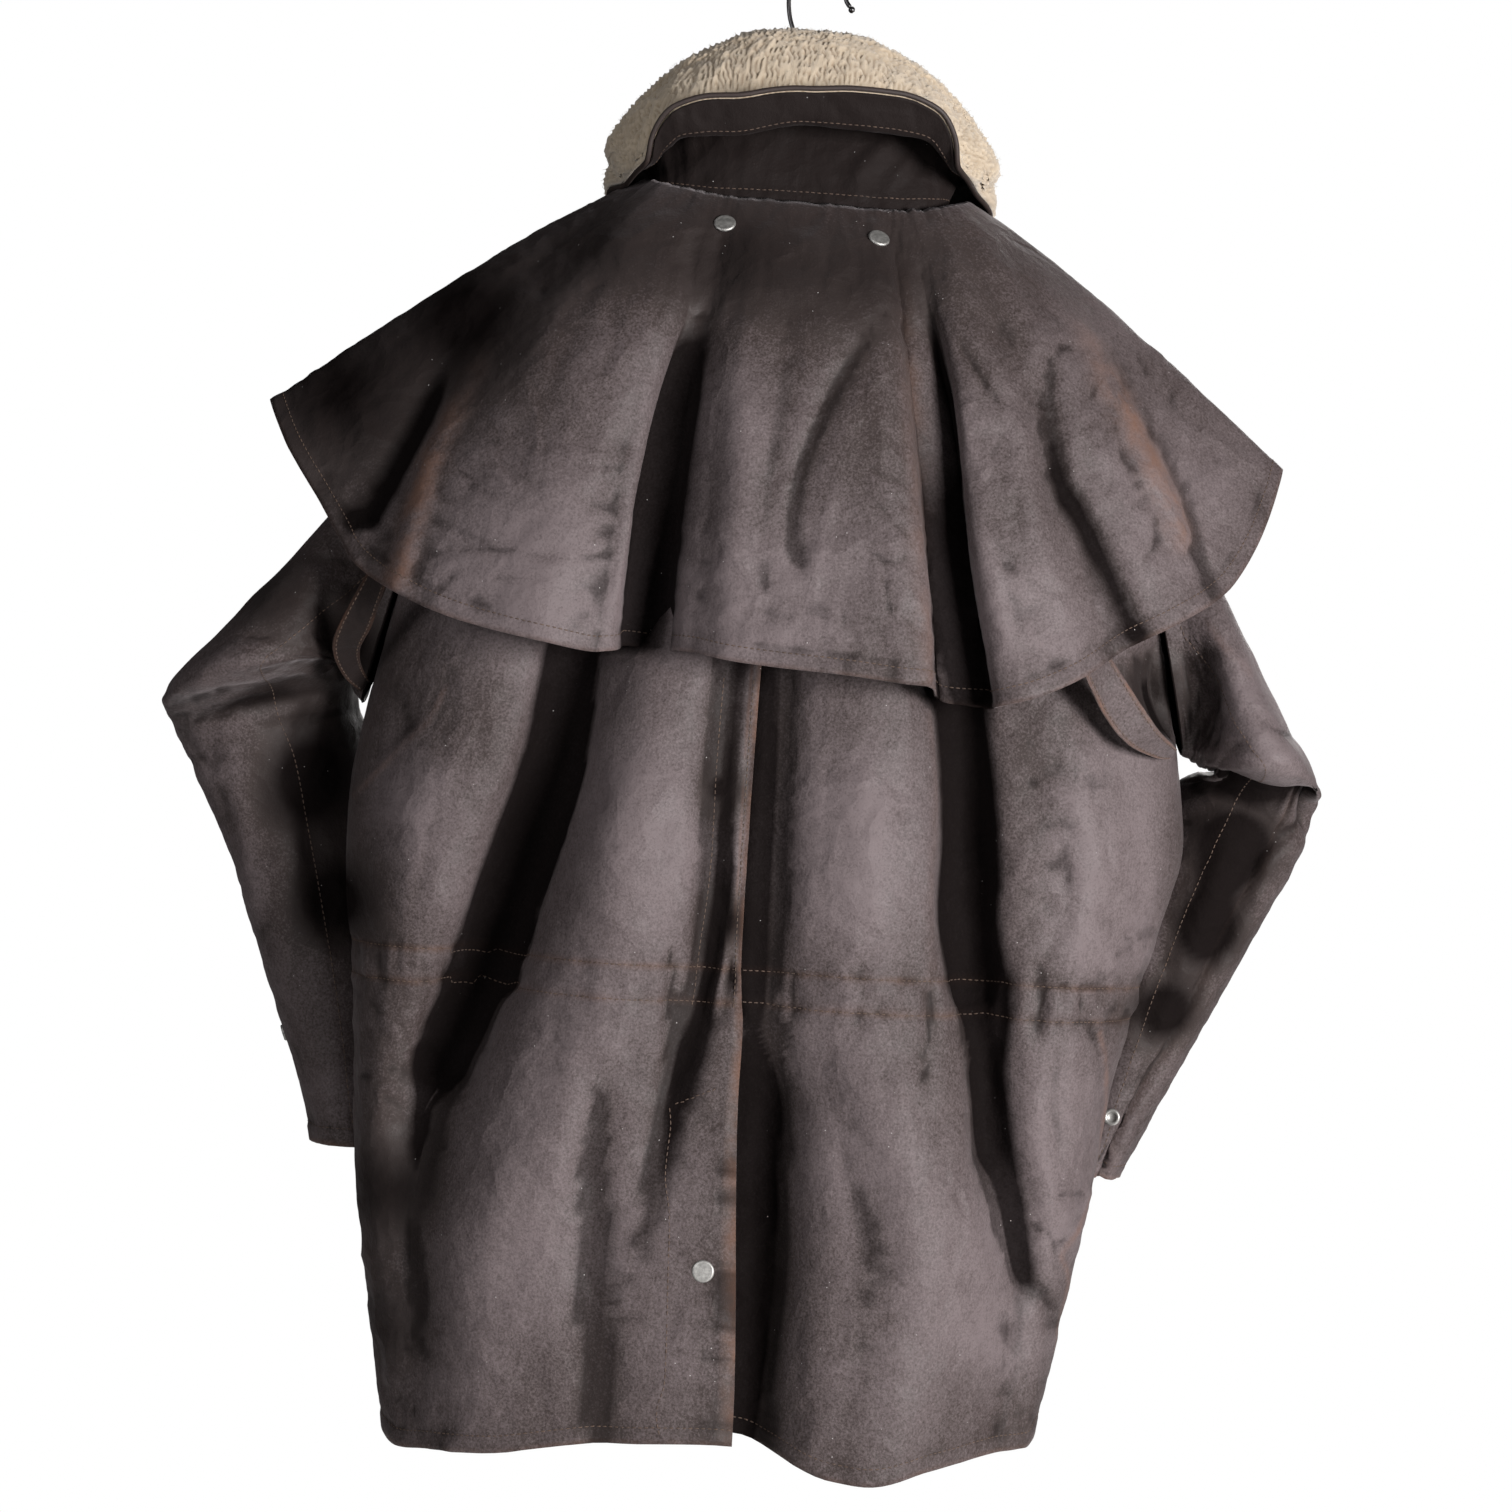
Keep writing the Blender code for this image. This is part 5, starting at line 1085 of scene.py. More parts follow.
backLooks = {
    "left": (
        crease(((444, 693), (431, 718), (407, 744), (383, 768), (356, 795)), -1.5, 3, 4, "none", rust=1.0),
        crease(((572, 640), (560, 720), (540, 800), (505, 900), (480, 980), (445, 1065)),
               17.0, 17, 20, "none"),
        crease(((590, 640), (580, 720), (562, 800), (530, 900), (505, 980)), 6.0, 7, 14, "none"),
        crease(((757, 640), (755, 790), (750, 900), (746, 975)), 10.0, 22, 24, "none"),
        crease(((722, 860), (712, 920), (704, 985)), 3.0, 6, 8),
        crease(((669, 934), (672, 975), (667, 1001), (672, 1055), (669, 1082)), 2.5, 4, 5),
        crease(((447, 948), (447, 975), (434, 1001)), 2.6, 5, 5),
        crease(((372, 1004), (402, 1026), (412, 1052)), 2.4, 5, 5),
        crease(((595, 1200), (601, 1220), (612, 1231)), 2.0, 4, 5),
        crease(((593, 1278), (609, 1301), (621, 1302), (632, 1281), (649, 1253), (665, 1236)), 2.2, 5, 4),
        crease(((643, 1278), (635, 1307), (623, 1335)), 2.0, 4, 4),
        crease(((503, 1354), (508, 1377), (511, 1405)), 2.0, 5, 5),
        crease(((545, 1248), (551, 1263), (550, 1278)), 1.6, 4, 4),
        crease(((643, 1343), (671, 1351), (724, 1360)), 1.8, 4, 4),
        crease(((620, 760), (612, 850), (600, 930)), -2.2, 12, 12),
        crease(((660, 1000), (640, 1090), (620, 1180)), -2.2, 13, 13),
        crease(((560, 1010), (545, 1100), (520, 1200), (505, 1300)), 3.0, 10, 10),
        crease(((470, 1100), (455, 1200), (450, 1300)), -2.0, 12, 12),
        crease(((410, 1100), (405, 1190), (420, 1290), (425, 1380)), 2.6, 9, 9),
        crease(((585, 1060), (600, 1120), (620, 1160)), 1.8, 6, 6),
        crease(((520, 1130), (545, 1160), (580, 1175)), 1.6, 5, 5),
        crease(((440, 800), (425, 860), (410, 930)), 2.0, 8, 8),
        crease(((690, 1290), (705, 1330), (700, 1380)), 1.4, 5, 5),
    ),
    "right": (
        crease(((757, 640), (755, 790), (750, 900), (746, 975)), 10.0, 22, 24, "none"),
        crease(((955, 650), (966, 750), (968, 840), (962, 920), (975, 985)), 14.0, 18, 16, "none"),
        crease(((1150, 640), (1165, 690), (1180, 740)), 14.0, 16, 16),
        crease(((975, 1010), (985, 1080), (992, 1150)), 6.0, 10, 12, "none"),
        crease(((930, 712), (936, 808), (930, 903), (933, 983)), -2.6, 5, 6, "none", rust=0.35),
        crease(((1019, 744), (1028, 839), (1000, 903), (997, 951), (1019, 986)), -2.0, 6, 6),
        crease(((981, 1064), (984, 1143), (1003, 1223), (1022, 1274), (1047, 1300), (1051, 1335)),
               5.5, 9, 10),
        crease(((933, 986), (928, 1024), (942, 1056)), 3.0, 5, 5),
        crease(((952, 999), (955, 1024), (965, 1047)), 2.8, 5, 4),
        crease(((872, 1002), (885, 1024), (888, 1079), (882, 1139)), 2.8, 5, 6),
        crease(((834, 1114), (855, 1130), (875, 1149)), 2.2, 5, 5),
        crease(((885, 1156), (892, 1168), (898, 1179)), 1.8, 4, 4),
        crease(((808, 1223), (822, 1237), (837, 1249)), 1.8, 5, 4),
        crease(((796, 1255), (812, 1280), (828, 1303)), 2.0, 5, 5),
        crease(((1032, 1198), (1058, 1196), (1083, 1191)), 1.8, 4, 4),
        crease(((1022, 1223), (1047, 1233), (1054, 1255)), 2.0, 4, 5),
        crease(((981, 1332), (980, 1346), (977, 1360)), 1.4, 4, 4),
        crease(((952, 1395), (949, 1410), (945, 1427)), 1.4, 4, 4),
        crease(((1098, 1032), (1105, 1080), (1095, 1175), (1076, 1230), (1060, 1255), (1067, 1281),
                (1054, 1351), (1044, 1398)), -1.4, 3, 3, "none", rust=1.6),
        crease(((888, 1316), (894, 1334)), 0.3, 4, 4, rust=0.9),
        crease(((900, 1060), (905, 1150), (920, 1240), (925, 1330)), -2.4, 14, 14),
        crease(((840, 1010), (830, 1080), (850, 1180), (880, 1270)), 2.0, 8, 9),
        crease(((1060, 1040), (1055, 1110), (1065, 1180)), 2.4, 7, 8),
        crease(((870, 740), (865, 830), (872, 930)), -2.0, 13, 12),
        crease(((1070, 800), (1068, 870), (1075, 950)), 2.0, 8, 8),
    ),
}
frontLooks = {
    "left": (
        crease(((640, 700), (620, 800), (600, 900), (610, 1000)), 6.0, 12, 12),
        crease(((520, 760), (500, 880), (490, 1000), (500, 1120)), 8.0, 14, 12),
        crease(((620, 1020), (600, 1150), (590, 1280), (600, 1400)), 6.0, 12, 12, "start"),
        crease(((430, 1050), (440, 1180), (450, 1300)), 5.0, 12, 12),
        crease(((560, 960), (580, 985), (620, 1000)), 2.2, 5, 6),
        crease(((680, 1120), (660, 1160), (620, 1180)), 2.0, 5, 5),
        crease(((500, 1250), (530, 1280), (570, 1290)), 2.0, 5, 5),
        crease(((700, 860), (670, 880), (640, 870)), 1.8, 5, 5),
    ),
    "right": (
        crease(((880, 700), (900, 800), (910, 900), (900, 1000)), 6.0, 12, 12),
        crease(((1000, 760), (1010, 880), (1000, 1000), (985, 1120)), 8.0, 12, 14),
        crease(((900, 1020), (920, 1150), (930, 1280), (920, 1400)), 6.0, 12, 12, "start"),
        crease(((1060, 1050), (1050, 1180), (1030, 1300)), 5.0, 12, 12),
        crease(((950, 960), (930, 985), (890, 1000)), 2.2, 5, 6),
        crease(((830, 1120), (850, 1160), (890, 1180)), 2.0, 5, 5),
        crease(((1010, 1250), (980, 1280), (940, 1290)), 2.0, 5, 5),
        crease(((810, 860), (840, 880), (870, 870)), 1.8, 5, 5),
    ),
}


# Where the cape's two troughs press the body flat: a route in the photo, and a depth in mm
pressedByCape = (
    (((690, 430), (650, 560), (635, 660)), 16),
    (((940, 430), (948, 560), (965, 700)), 20),
)


def makePanel(side, part):
    sign = -1 if side == "left" else 1
    behind = -1 if part == "back" else 1
    counts = (150, 36, 130) if part == "back" else (90, 24, 80)
    grid = panelSurface(side, part, *counts)
    grid[:, 0, 1] += behind * seamGap / 2
    if part == "back":
        grid[:, -1, 0] += sign * seamGap / 2
    towards = (0, behind, 0)
    normal = gridNormals(grid, False, towards)
    looks = backLooks if part == "back" else frontLooks
    push, worn = creasePush(photoPlaces(grid), looks[side])
    x, z = grid[..., 0], grid[..., 2]
    if part == "back":
        # the body lies flat under the cape's two troughs, and its casing is gathered
        for route, depth in pressedByCape:
            pressed, _ = creasePush(photoPlaces(grid), (crease(route, depth, 26, 26),))
            push += pressed
        near = np.exp(-((z - waist) / 0.016) ** 2)
        push += 0.0022 * near * rough(x, z * 0.3, 0.0085, 41)
        rows = np.exp(-((np.abs(z - waist) - casingHeight / 2) / 0.0018) ** 2)
        push += 0.0007 * rows
        worn = np.maximum(worn, 0.45 * rows)
        if side == "left":
            seam = np.abs(x - grid[:, -1, 0][:, None])
            push -= 0.0007 * ease(0.0095, 0.0080, seam)
            worn = np.maximum(worn, 0.8 * np.exp(-(seam / 0.0016) ** 2))
            worn = np.maximum(worn, 0.45 * np.exp(-((seam - 0.009) / 0.0012) ** 2) * (z > ventTop))
    push += clothDents(x * 1.15, z, 51 if side == "left" else 61)
    away = z - grid[-1, :, 2]
    push += hemShape(away, x * 1.1, 71 if side == "left" else 81)
    worn = np.maximum(worn, 0.40 * np.exp(-(away / 0.0018) ** 2))
    turnIn = ease(0.0, 0.02, np.linspace(0, 1, grid.shape[1]))
    push = push * turnIn + clothDents(z, z, 91) * (1 - turnIn)
    grid = grid - normal * push[..., None]
    normal = gridNormals(grid, False, towards)
    fields = {**reliefOf(grid, normal, False), "worn": worn, "bloom": bloomAndPaintedLightAt(photoPlaces(grid))}
    name = part + side.capitalize() + "Cloth"
    piece = shell(name, grid, normal, clothLooks["thickness"], waxed, fields=fields)
    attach(piece, "root")
    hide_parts(part + "_" + side)
    lift = normal * clothLooks["thickness"] / 2

    def lineAlong(rowFunction, columns=slice(None)):
        # the surface's own line at a height that rowFunction gives for each column
        chosen = np.arange(grid.shape[1])[columns]
        rows = [int(np.argmin(np.abs(grid[:, j, 2] - rowFunction(j)))) for j in chosen]
        return (grid + lift)[rows, chosen], normal[rows, chosen]

    lines = [lineAlong(lambda j: grid[-1, j, 2] + clothLooks["hemBand"])]
    if part == "back":
        for height in (waist + casingHeight / 2, waist - casingHeight / 2):
            lines.append(lineAlong(lambda j: height))
        if side == "left":
            seamRow = int(np.argmin(np.abs(grid[:, -1, 2] - ventTop)))
            for inset in (2, 8):
                lines.append(((grid + lift)[36:seamRow, -inset], normal[36:seamRow, -inset]))
    return grid, normal, lines


routeSteps = 50
routeReach = 4.0          # pixels


def photoLine(grid, normal, route):
    # the surface's line that shows along a route in the photo
    places = photoPlaces(grid).reshape(-1, 2)
    wanted = roundCurve(np.linspace(0, len(route) - 1, routeSteps), np.array(route, float))
    found = []
    for one in wanted:
        weight = np.exp(-((places - one) ** 2).sum(-1) / routeReach ** 2)
        found.append([(values.reshape(-1, 3) * weight[:, None]).sum(0) / weight.sum()
                      for values in (grid, normal)])
    points, ups = np.array(found).transpose(1, 0, 2)
    ups = unit(ups)
    return points + ups * clothLooks["thickness"] / 2, ups


ventStitches = (
    ((670, 1107), (667, 1214), (665, 1346), (658, 1405), (657, 1438)),
    ((674, 1105), (719, 1088)),
)
panelGrids = {}
for part in ("back", "front"):
    for side in ("left", "right"):
        made = makePanel(side, part)
        panelGrids[part, side] = made[:2]
        threadLines += made[2]
for route in ventStitches:
    threadLines.append(photoLine(*panelGrids["back", "left"], route))
print("panels made")

# Sleeves

sleeveLooks = {
    "left": {
        "back": (
            crease(((293, 565), (323, 559), (362, 567)), 2.6, 5, 6),
            crease(((232, 639), (267, 637), (297, 641)), 2.4, 5, 5),
            crease(((185, 682), (237, 660), (297, 643), (336, 630)), 2.6, 5, 5),
            crease(((180, 725), (215, 778), (224, 799), (232, 830)), 2.6, 6, 6),
            crease(((237, 877), (241, 903), (252, 934)), 2.0, 5, 5),
            crease(((276, 929), (285, 938), (293, 947)), 1.8, 4, 4),
            crease(((271, 955), (274, 978), (276, 999)), 1.8, 4, 4),
            crease(((293, 1042), (300, 1060), (306, 1077)), 1.8, 4, 4),
            crease(((310, 700), (300, 780), (320, 880), (340, 960)), 5.0, 12, 9),
            crease(((232, 743), (254, 890), (254, 934)), -2.4, 8, 7),
            crease(((330, 480), (300, 520), (262, 560)), 2.2, 7, 7),
            crease(((380, 540), (350, 600), (300, 610)), 2.0, 7, 7),
            crease(((200, 610), (245, 600), (290, 585)), -1.6, 7, 7),
        ),
        "front": (
            crease(((250, 560), (290, 600), (330, 610)), 3.0, 7, 7),
            crease(((200, 660), (250, 660), (310, 640)), 4.0, 7, 8),
            crease(((210, 720), (250, 740), (300, 730)), 3.0, 7, 7),
            crease(((260, 800), (280, 880), (300, 960)), 2.6, 8, 8),
            crease(((300, 900), (310, 980), (320, 1060)), 2.2, 6, 6),
        ),
    },
    "right": {
        "back": (
            crease(((1205, 621), (1230, 654), (1254, 678)), -1.8, 5, 5, rust=0.8),
            crease(((1295, 805), (1254, 887), (1226, 940), (1209, 980), (1189, 1029), (1148, 1091),
                    (1111, 1164), (1101, 1176)), 2.6, 5, 3, "none", rust=0.3),
            crease(((1195, 640), (1205, 700), (1200, 750)), 10.0, 14, 14),
            crease(((1198, 770), (1237, 779), (1263, 790), (1308, 797), (1323, 809)), 9.0, 3, 12, "none"),
            crease(((1315, 825), (1286, 841), (1260, 861), (1247, 909), (1231, 942), (1205, 984),
                    (1185, 1026), (1159, 1068), (1134, 1110), (1117, 1149)), 10.0, 4, 25, "none"),
            crease(((1240, 700), (1275, 730), (1310, 740)), 2.6, 6, 6),
            crease(((1230, 740), (1265, 762), (1300, 772)), 2.6, 5, 5),
            crease(((1170, 900), (1160, 980), (1130, 1060)), 3.0, 9, 9),
            crease(((1215, 830), (1190, 900), (1175, 950)), 2.4, 7, 7),
            crease(((1250, 640), (1290, 680), (1320, 730)), -2.0, 9, 9),
        ),
        "front": (
            crease(((1230, 560), (1270, 610), (1300, 640)), 3.0, 7, 7),
            crease(((1210, 740), (1260, 760), (1310, 750)), 4.0, 7, 8),
            crease(((1200, 800), (1240, 820), (1280, 810)), 3.0, 7, 7),
            crease(((1200, 880), (1180, 960), (1150, 1040)), 2.6, 8, 8),
        ),
    },
}


def outwardNormals(grid, centre):
    normal = gridNormals(grid, True)
    return -normal if np.sum((grid - centre) * normal) < 0 else normal


def makeSleeve(side):
    rings = sleeveRings[side]
    sign = -1 if side == "left" else 1
    rows, columns = 150, 120
    at = np.linspace(0, len(rings["outerX"]) - 1, rows)
    fine = {key: roundCurve(at, value) for key, value in rings.items()}
    angle = np.linspace(0, 2 * math.pi, columns, endpoint=False)
    outer = np.stack([fine["outerX"], 0 * at, fine["outerZ"]], -1)[:, None]
    inner = np.stack([fine["innerX"], 0 * at, fine["innerZ"]], -1)[:, None]
    grid = (outer + inner) / 2 + (outer - inner) / 2 * np.cos(angle)[None, :, None]
    depth = (fine["front"] - fine["back"])[:, None] / 2
    middle = (fine["back"] + fine["front"])[:, None] / 2
    swing = (fine["innerY"][:, None] - middle) * (1 - np.cos(angle)) / 2
    grid[..., 1] = middle - depth * np.sin(angle) + swing
    grid[0, :, 0] += sign * armholeGap
    centre = grid.mean(axis=1, keepdims=True)
    normal = outwardNormals(grid, centre)
    push, worn = creasedBothWays(grid, normal, sleeveLooks[side])
    steps = np.linalg.norm(np.diff(centre[:, 0], axis=0), axis=1)
    run = np.concatenate([[0], np.cumsum(steps)])
    v = run[:, None] + 0 * angle
    u = np.abs((angle / math.pi + 1) % 2 - 1)[None, :] * 0.14 + 0 * v
    push += clothDents(u + v * 0.3, v, 101 if side == "left" else 111)
    # soft rings of slack cloth round the bent elbow
    elbow = np.exp(-((at[:, None] - 9.0) / 3.2) ** 2)
    push += 0.0022 * elbow * rough(v * 1.0, u * 0.35, 0.016, 121 + (sign > 0))
    away = run[-1] - v
    push += hemShape(away, u, 131)
    worn = np.maximum(worn, 0.8 * np.exp(-(away / 0.0022) ** 2))
    push *= ease(0.0, 0.02, v)
    grid = grid - normal * push[..., None]
    normal = outwardNormals(grid, centre)
    fields = {**reliefOf(grid, normal, True), "worn": worn, "bloom": bloomAndPaintedLightAt(photoPlaces(grid))}
    name = "sleeve" + side.capitalize() + "Cloth"
    piece = shell(name, grid, normal, clothLooks["thickness"], waxed, True, fields)
    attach(piece, "root")
    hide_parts("sleeve_" + side)
    row = int(np.argmin(np.abs(run[-1] - run - clothLooks["hemBand"])))
    closed = np.concatenate([grid[row], grid[row, :1]]), np.concatenate([normal[row], normal[row, :1]])
    seam = int(columns * 0.29)
    lift = clothLooks["thickness"] / 2
    lines = [(closed[0] + closed[1] * lift, closed[1])]
    lines.append((grid[:, seam] + normal[:, seam] * lift, normal[:, seam]))
    return grid, normal, lines


for side in ("left", "right"):
    threadLines += makeSleeve(side)[2]
print("sleeves made")

# Collar

collarLooks = {
    "stand": (
        crease(((845, 190), (862, 168), (880, 150), (900, 132)), -4.5, 5, 7),
        crease(((885, 190), (900, 172), (915, 158), (926, 142)), -4.0, 6, 5),
        crease(((815, 150), (824, 170), (842, 184)), -2.4, 4, 6),
        crease(((944, 129), (954, 150), (945, 171), (944, 188)), -3.0, 5, 5),
        crease(((690, 129), (688, 145), (692, 165)), -2.4, 6, 6),
        crease(((745, 130), (750, 155), (745, 185)), -1.8, 8, 8),
    ),
    "fall": (
        crease(((700, 112), (705, 120), (706, 126)), 1.6, 5, 5),
        crease(((836, 100), (838, 112), (836, 123)), 2.0, 5, 5),
        crease(((913, 100), (915, 115), (917, 128)), 2.2, 5, 5),
    ),
    "bloom": -0.80,                    # no wax has bloomed here, and the collar cloth is darkened all over as painted shade
    "fleece": 0.0090,
    "fleeceAtEdge": 0.0050,
    "tuft": 0.0042,                   # how far apart the curls of the pile are
    "tuftHeight": 0.0030,
    "fibres": 5500,
    "fibreLength": 0.0045,
    "fibreRadius": 0.00012,
    "piping": 0.0018,
}


def collarPaths():
    seam, roll, belly, edge = (np.stack([collar[name + axis] for axis in "XYZ"], -1)
                               for name in ("seam", "roll", "belly", "edge"))
    outward = belly - seam
    outward[:, 2] = 0
    outward = unit(outward) * rollRadius
    below = np.array([0, 0, -rollRadius * 0.9])
    paths = [seam, seam * 0.62 + roll * 0.38 - outward * 0.5, seam * 0.25 + roll * 0.75 - outward * 0.9,
             roll + below - outward, roll, roll + below + outward, (roll + belly) / 2 + outward * 0.5,
             belly, edge]
    half = np.stack(paths, 1)
    return np.concatenate([(half * (-1, 1, 1))[:0:-1], half])


def collarSurface(rows, columns):
    paths = collarPaths()
    at = np.linspace(0, len(paths) - 1, columns)
    places = range(len(paths))
    across = np.stack([[curveThrough(at, places, paths[:, k, axis]) for axis in range(3)]
                       for k in range(paths.shape[1])])
    grid = roundCurve(rows, across.transpose(0, 2, 1))
    # unlike the solids, the fall hugs the neck at both sides, and its left part hangs lower
    x, y = grid[..., 0], grid[..., 1]
    share = ease(5.2, 7.4, rows)[:, None] * ease(0.03, -0.02, y)
    grid[..., 2] -= 0.009 * share * ease(0.0, -0.05, x)
    grid[..., 0] -= 0.009 * share * np.sign(x) * ease(0.085, 0.12, np.abs(x))
    grid[..., 0] += collarMiddle
    return grid


def makeCollarCloth():
    columns = 260
    for name, low, high, count in (("stand", 0.0, 3.97, 40), ("fall", 4.03, 8.0, 44)):
        rows = np.linspace(low, high, count)
        grid = collarSurface(rows, columns)
        # the outer face is the one away from the neck, which the fleece doesn't cover
        inward = gridNormals(grid, False)
        wanted = gridNormals(collarSurface(np.linspace(0, 1, 5), 45), False)[1, 22]
        if wanted[1] < 0:
            inward = -inward
        outer = -inward
        push, worn = creasePush(photoPlaces(grid), collarLooks[name])
        inBack = ease(0.02, -0.02, grid[..., 1])
        u = np.linspace(0, 0.62, columns)[None, :] + 0 * rows[:, None]
        v = rows[:, None] * 0.018 + 0 * u
        push = push * inBack + 0.8 * clothDents(u, v, 141)
        if name == "stand":
            low = np.exp(-(v / 0.010) ** 2)
            push += 0.0010 * low * rough(u, v * 0.2, 0.0065, 151)
        grid = grid - outer * push[..., None]
        outer = gridNormals(grid, False, outer[count // 2, columns // 2])
        fields = {**reliefOf(grid, outer, False), "worn": worn, "bloom": 0 * worn + collarLooks["bloom"]}
        piece = shell("collar" + name.capitalize() + "Cloth", grid, outer, clothLooks["thickness"], waxed,
                      fields=fields)
        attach(piece, "root")
        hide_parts("collar_" + name)
        row = int(count * (0.10 if name == "stand" else 0.80))
        lift = clothLooks["thickness"] / 2
        threadLines.append((grid[row] + outer[row] * lift, outer[row]))


def tuftHeights(points, spacing, seed):
    # domes of the curly pile round scattered middles
    randoms = np.random.default_rng(seed)
    low, high = points.min(0), points.max(0)
    step = max(1, int(len(points) / 60000))
    cloud = points[::step]
    picked = cloud[randoms.permutation(len(cloud))]
    chosen = []
    cells = {}
    for point in picked:
        key = tuple((point / spacing).astype(int))
        near = [cells[k] for k in [(key[0] + a, key[1] + b, key[2] + c) for a in (-1, 0, 1)
                                   for b in (-1, 0, 1) for c in (-1, 0, 1)] if k in cells]
        if all(np.linalg.norm(point - other) > spacing * 0.72 for other in near):
            cells[key] = point
            chosen.append(point)
    tree = kdtree.KDTree(len(chosen))
    for k, point in enumerate(chosen):
        tree.insert(point, k)
    tree.balance()
    sizes = randoms.uniform(0.55, 1.0, len(chosen))
    heights = np.zeros(len(points))
    for k, point in enumerate(points):
        (_, first, near), (_, second, far) = tree.find_n(point, 2)
        dome = np.clip((far - near) / spacing * 1.7, 0, 1)
        heights[k] = sizes[first] * math.sqrt(dome)
    return heights


def makeFleece():
    columns, count = 340, 84
    rows = np.linspace(0, 8, count)
    grid = collarSurface(rows, columns)
    inward = gridNormals(grid, False)
    if inward[3, columns // 2, 1] < 0:
        inward = -inward
    thick = collarLooks["fleeceAtEdge"] + (collarLooks["fleece"] - collarLooks["fleeceAtEdge"]) * (
        ease(0.0, 0.5, rows) * ease(8.0, 7.3, rows))[:, None]
    base = grid + inward * (clothLooks["thickness"] / 2 + seamGap)
    face = base + inward * (thick[..., None] * 0.72)
    heights = tuftHeights(face.reshape(-1, 3), collarLooks["tuft"], 7).reshape(count, columns)
    u = np.linspace(0, 0.62, columns)[None, :] + 0 * rows[:, None]
    v = rows[:, None] * 0.018 + 0 * u
    curly = 0.00045 * rough(u, v, 0.0016, 171) + 0.0009 * rough(u, v, 0.011, 172)
    edge = (ease(0.0, 0.25, rows) * ease(8.0, 7.8, rows))[:, None]
    top = face + inward * ((collarLooks["tuftHeight"] * heights * edge + curly)[..., None])
    middle, span = (top + base) / 2, top - base
    thickness = np.linalg.norm(span, axis=-1)
    fields = {"height": heights}
    piece = shell("fleecePile", middle, unit(span), thickness, fleecePile, fields=fields)
    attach(piece, "root")
    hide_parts("collar_fleece")
    # loose fibres that stand and curl out of the pile
    randoms = np.random.default_rng(5)
    number = collarLooks["fibres"]
    i = randoms.integers(1, count - 1, number)
    j = randoms.integers(1, columns - 1, number)
    root, up = top[i, j], unit(inward[i, j] + randoms.normal(0, 0.55, (number, 3)))
    bend = unit(np.cross(up, randoms.normal(0, 1, (number, 3))))
    length = collarLooks["fibreLength"] * randoms.uniform(0.5, 1.0, number)[:, None]
    spine = []
    for share in (0.0, 0.5, 1.0):
        turn = share * 2.2
        spine.append(root + length * (up * math.sin(turn) / 2.2 + bend * (1 - math.cos(turn)) / 2.2))
    radii = (1.0, 0.85, 0.15)
    side = unit(np.cross(up, bend))
    rings = []
    for place, wide in zip(spine, radii):
        for angle in (0, 2 * math.pi / 3, 4 * math.pi / 3):
            out = side * math.cos(angle) + bend * math.sin(angle)
            rings.append(place + out * collarLooks["fibreRadius"] * wide)
    points = np.stack(rings, 1).reshape(-1, 3)
    lit = np.repeat(randoms.uniform(0.5, 1.0, number), 9)
    fibres = meshFrom("fleeceFibres", points, tubeQuads(3, 3, number), fleeceFibre, {"height": lit})
    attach(fibres, "root")
    return grid, inward


def makePiping(grid, inward):
    edge, before = grid[-1], grid[-2]
    beyond = unit(np.cross(np.gradient(edge, axis=0), inward[-1]))
    if np.dot(beyond[0], edge[0] - before[0]) < 0:
        beyond = -beyond
    radius = collarLooks["piping"]
    path = edge + beyond * (radius + 0.0006) + inward[-1] * radius
    piece = tube("collarPiping", path[::2], radius, 12, piping)
    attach(piece, "root")
    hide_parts("collar_piping")


makeCollarCloth()
makePiping(*makeFleece())
print("collar made")

# Arm straps

# The left strap hangs in the photo's shade, so its bloom is below 0
strapLooks = {"thickness": 0.0016, "gap": 0.0006, "stitchInset": 2, "bloom": {"left": -0.7, "right": 0.5}}


def makeStrap(side):
    down = (0.95, 1.0)
    finer = (capeGrid.shape[1] - 1) / (len(cape["neckX"]) - 1)
    columnsAt = [int(round(at * finer)) for at in strapEnds[side]]
    sewn = []
    for share in down:
        row = int(round(share * (capeGrid.shape[0] - 1)))
        inward = -capeNormal[row, columnsAt]
        lift = clothLooks["thickness"] / 2 + strapLooks["gap"] + strapLooks["thickness"] / 2
        sewn.append(capeGrid[row, columnsAt] + inward * lift)
    free = [sewn[-1]]
    for outerX, outerY, outerZ, innerX, innerY, innerZ in strapRows[side]:
        outer, inner = np.array([outerX, outerY, outerZ]), np.array([innerX, innerY, innerZ])
        free.append(np.stack([outer, (outer + inner) / 2, inner]))
    free = np.array(free)
    hanging = roundCurve(np.linspace(0, len(free) - 1, 60), free)
    rows = np.concatenate([np.linspace(sewn[0], sewn[1], 8, endpoint=False), hanging])
    across = np.linspace(0, 2, 14)
    grid = roundCurve(across, rows.transpose(1, 0, 2)).transpose(1, 0, 2)
    normal = gridNormals(grid, False, (0, -1, 0))
    u = across[None, :] * 0.011 + 0 * rows[:, :1, 0]
    v = np.linspace(0, 0.12, len(rows))[:, None] + 0 * u
    push = 0.6 * clothDents(u, v, 181)
    grid = grid - normal * push[..., None]
    worn = 0.9 * np.maximum(np.exp(-((across - 0.12) / 0.16) ** 2), np.exp(-((across - 1.88) / 0.16) ** 2))
    flat = 0 * u
    fields = {"crest": flat + 0.2, "worn": flat + worn[None, :], "hollow": flat,
              "bloom": flat + strapLooks["bloom"][side]}
    name = "strap" + side.capitalize() + "Cloth"
    piece = shell(name, grid, normal, strapLooks["thickness"], waxed, fields=fields)
    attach(piece, "root")
    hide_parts("strap_" + side)
    lift = normal * strapLooks["thickness"] / 2
    for column in (strapLooks["stitchInset"], -1 - strapLooks["stitchInset"]):
        threadLines.append(((grid + lift)[:, column], normal[:, column]))


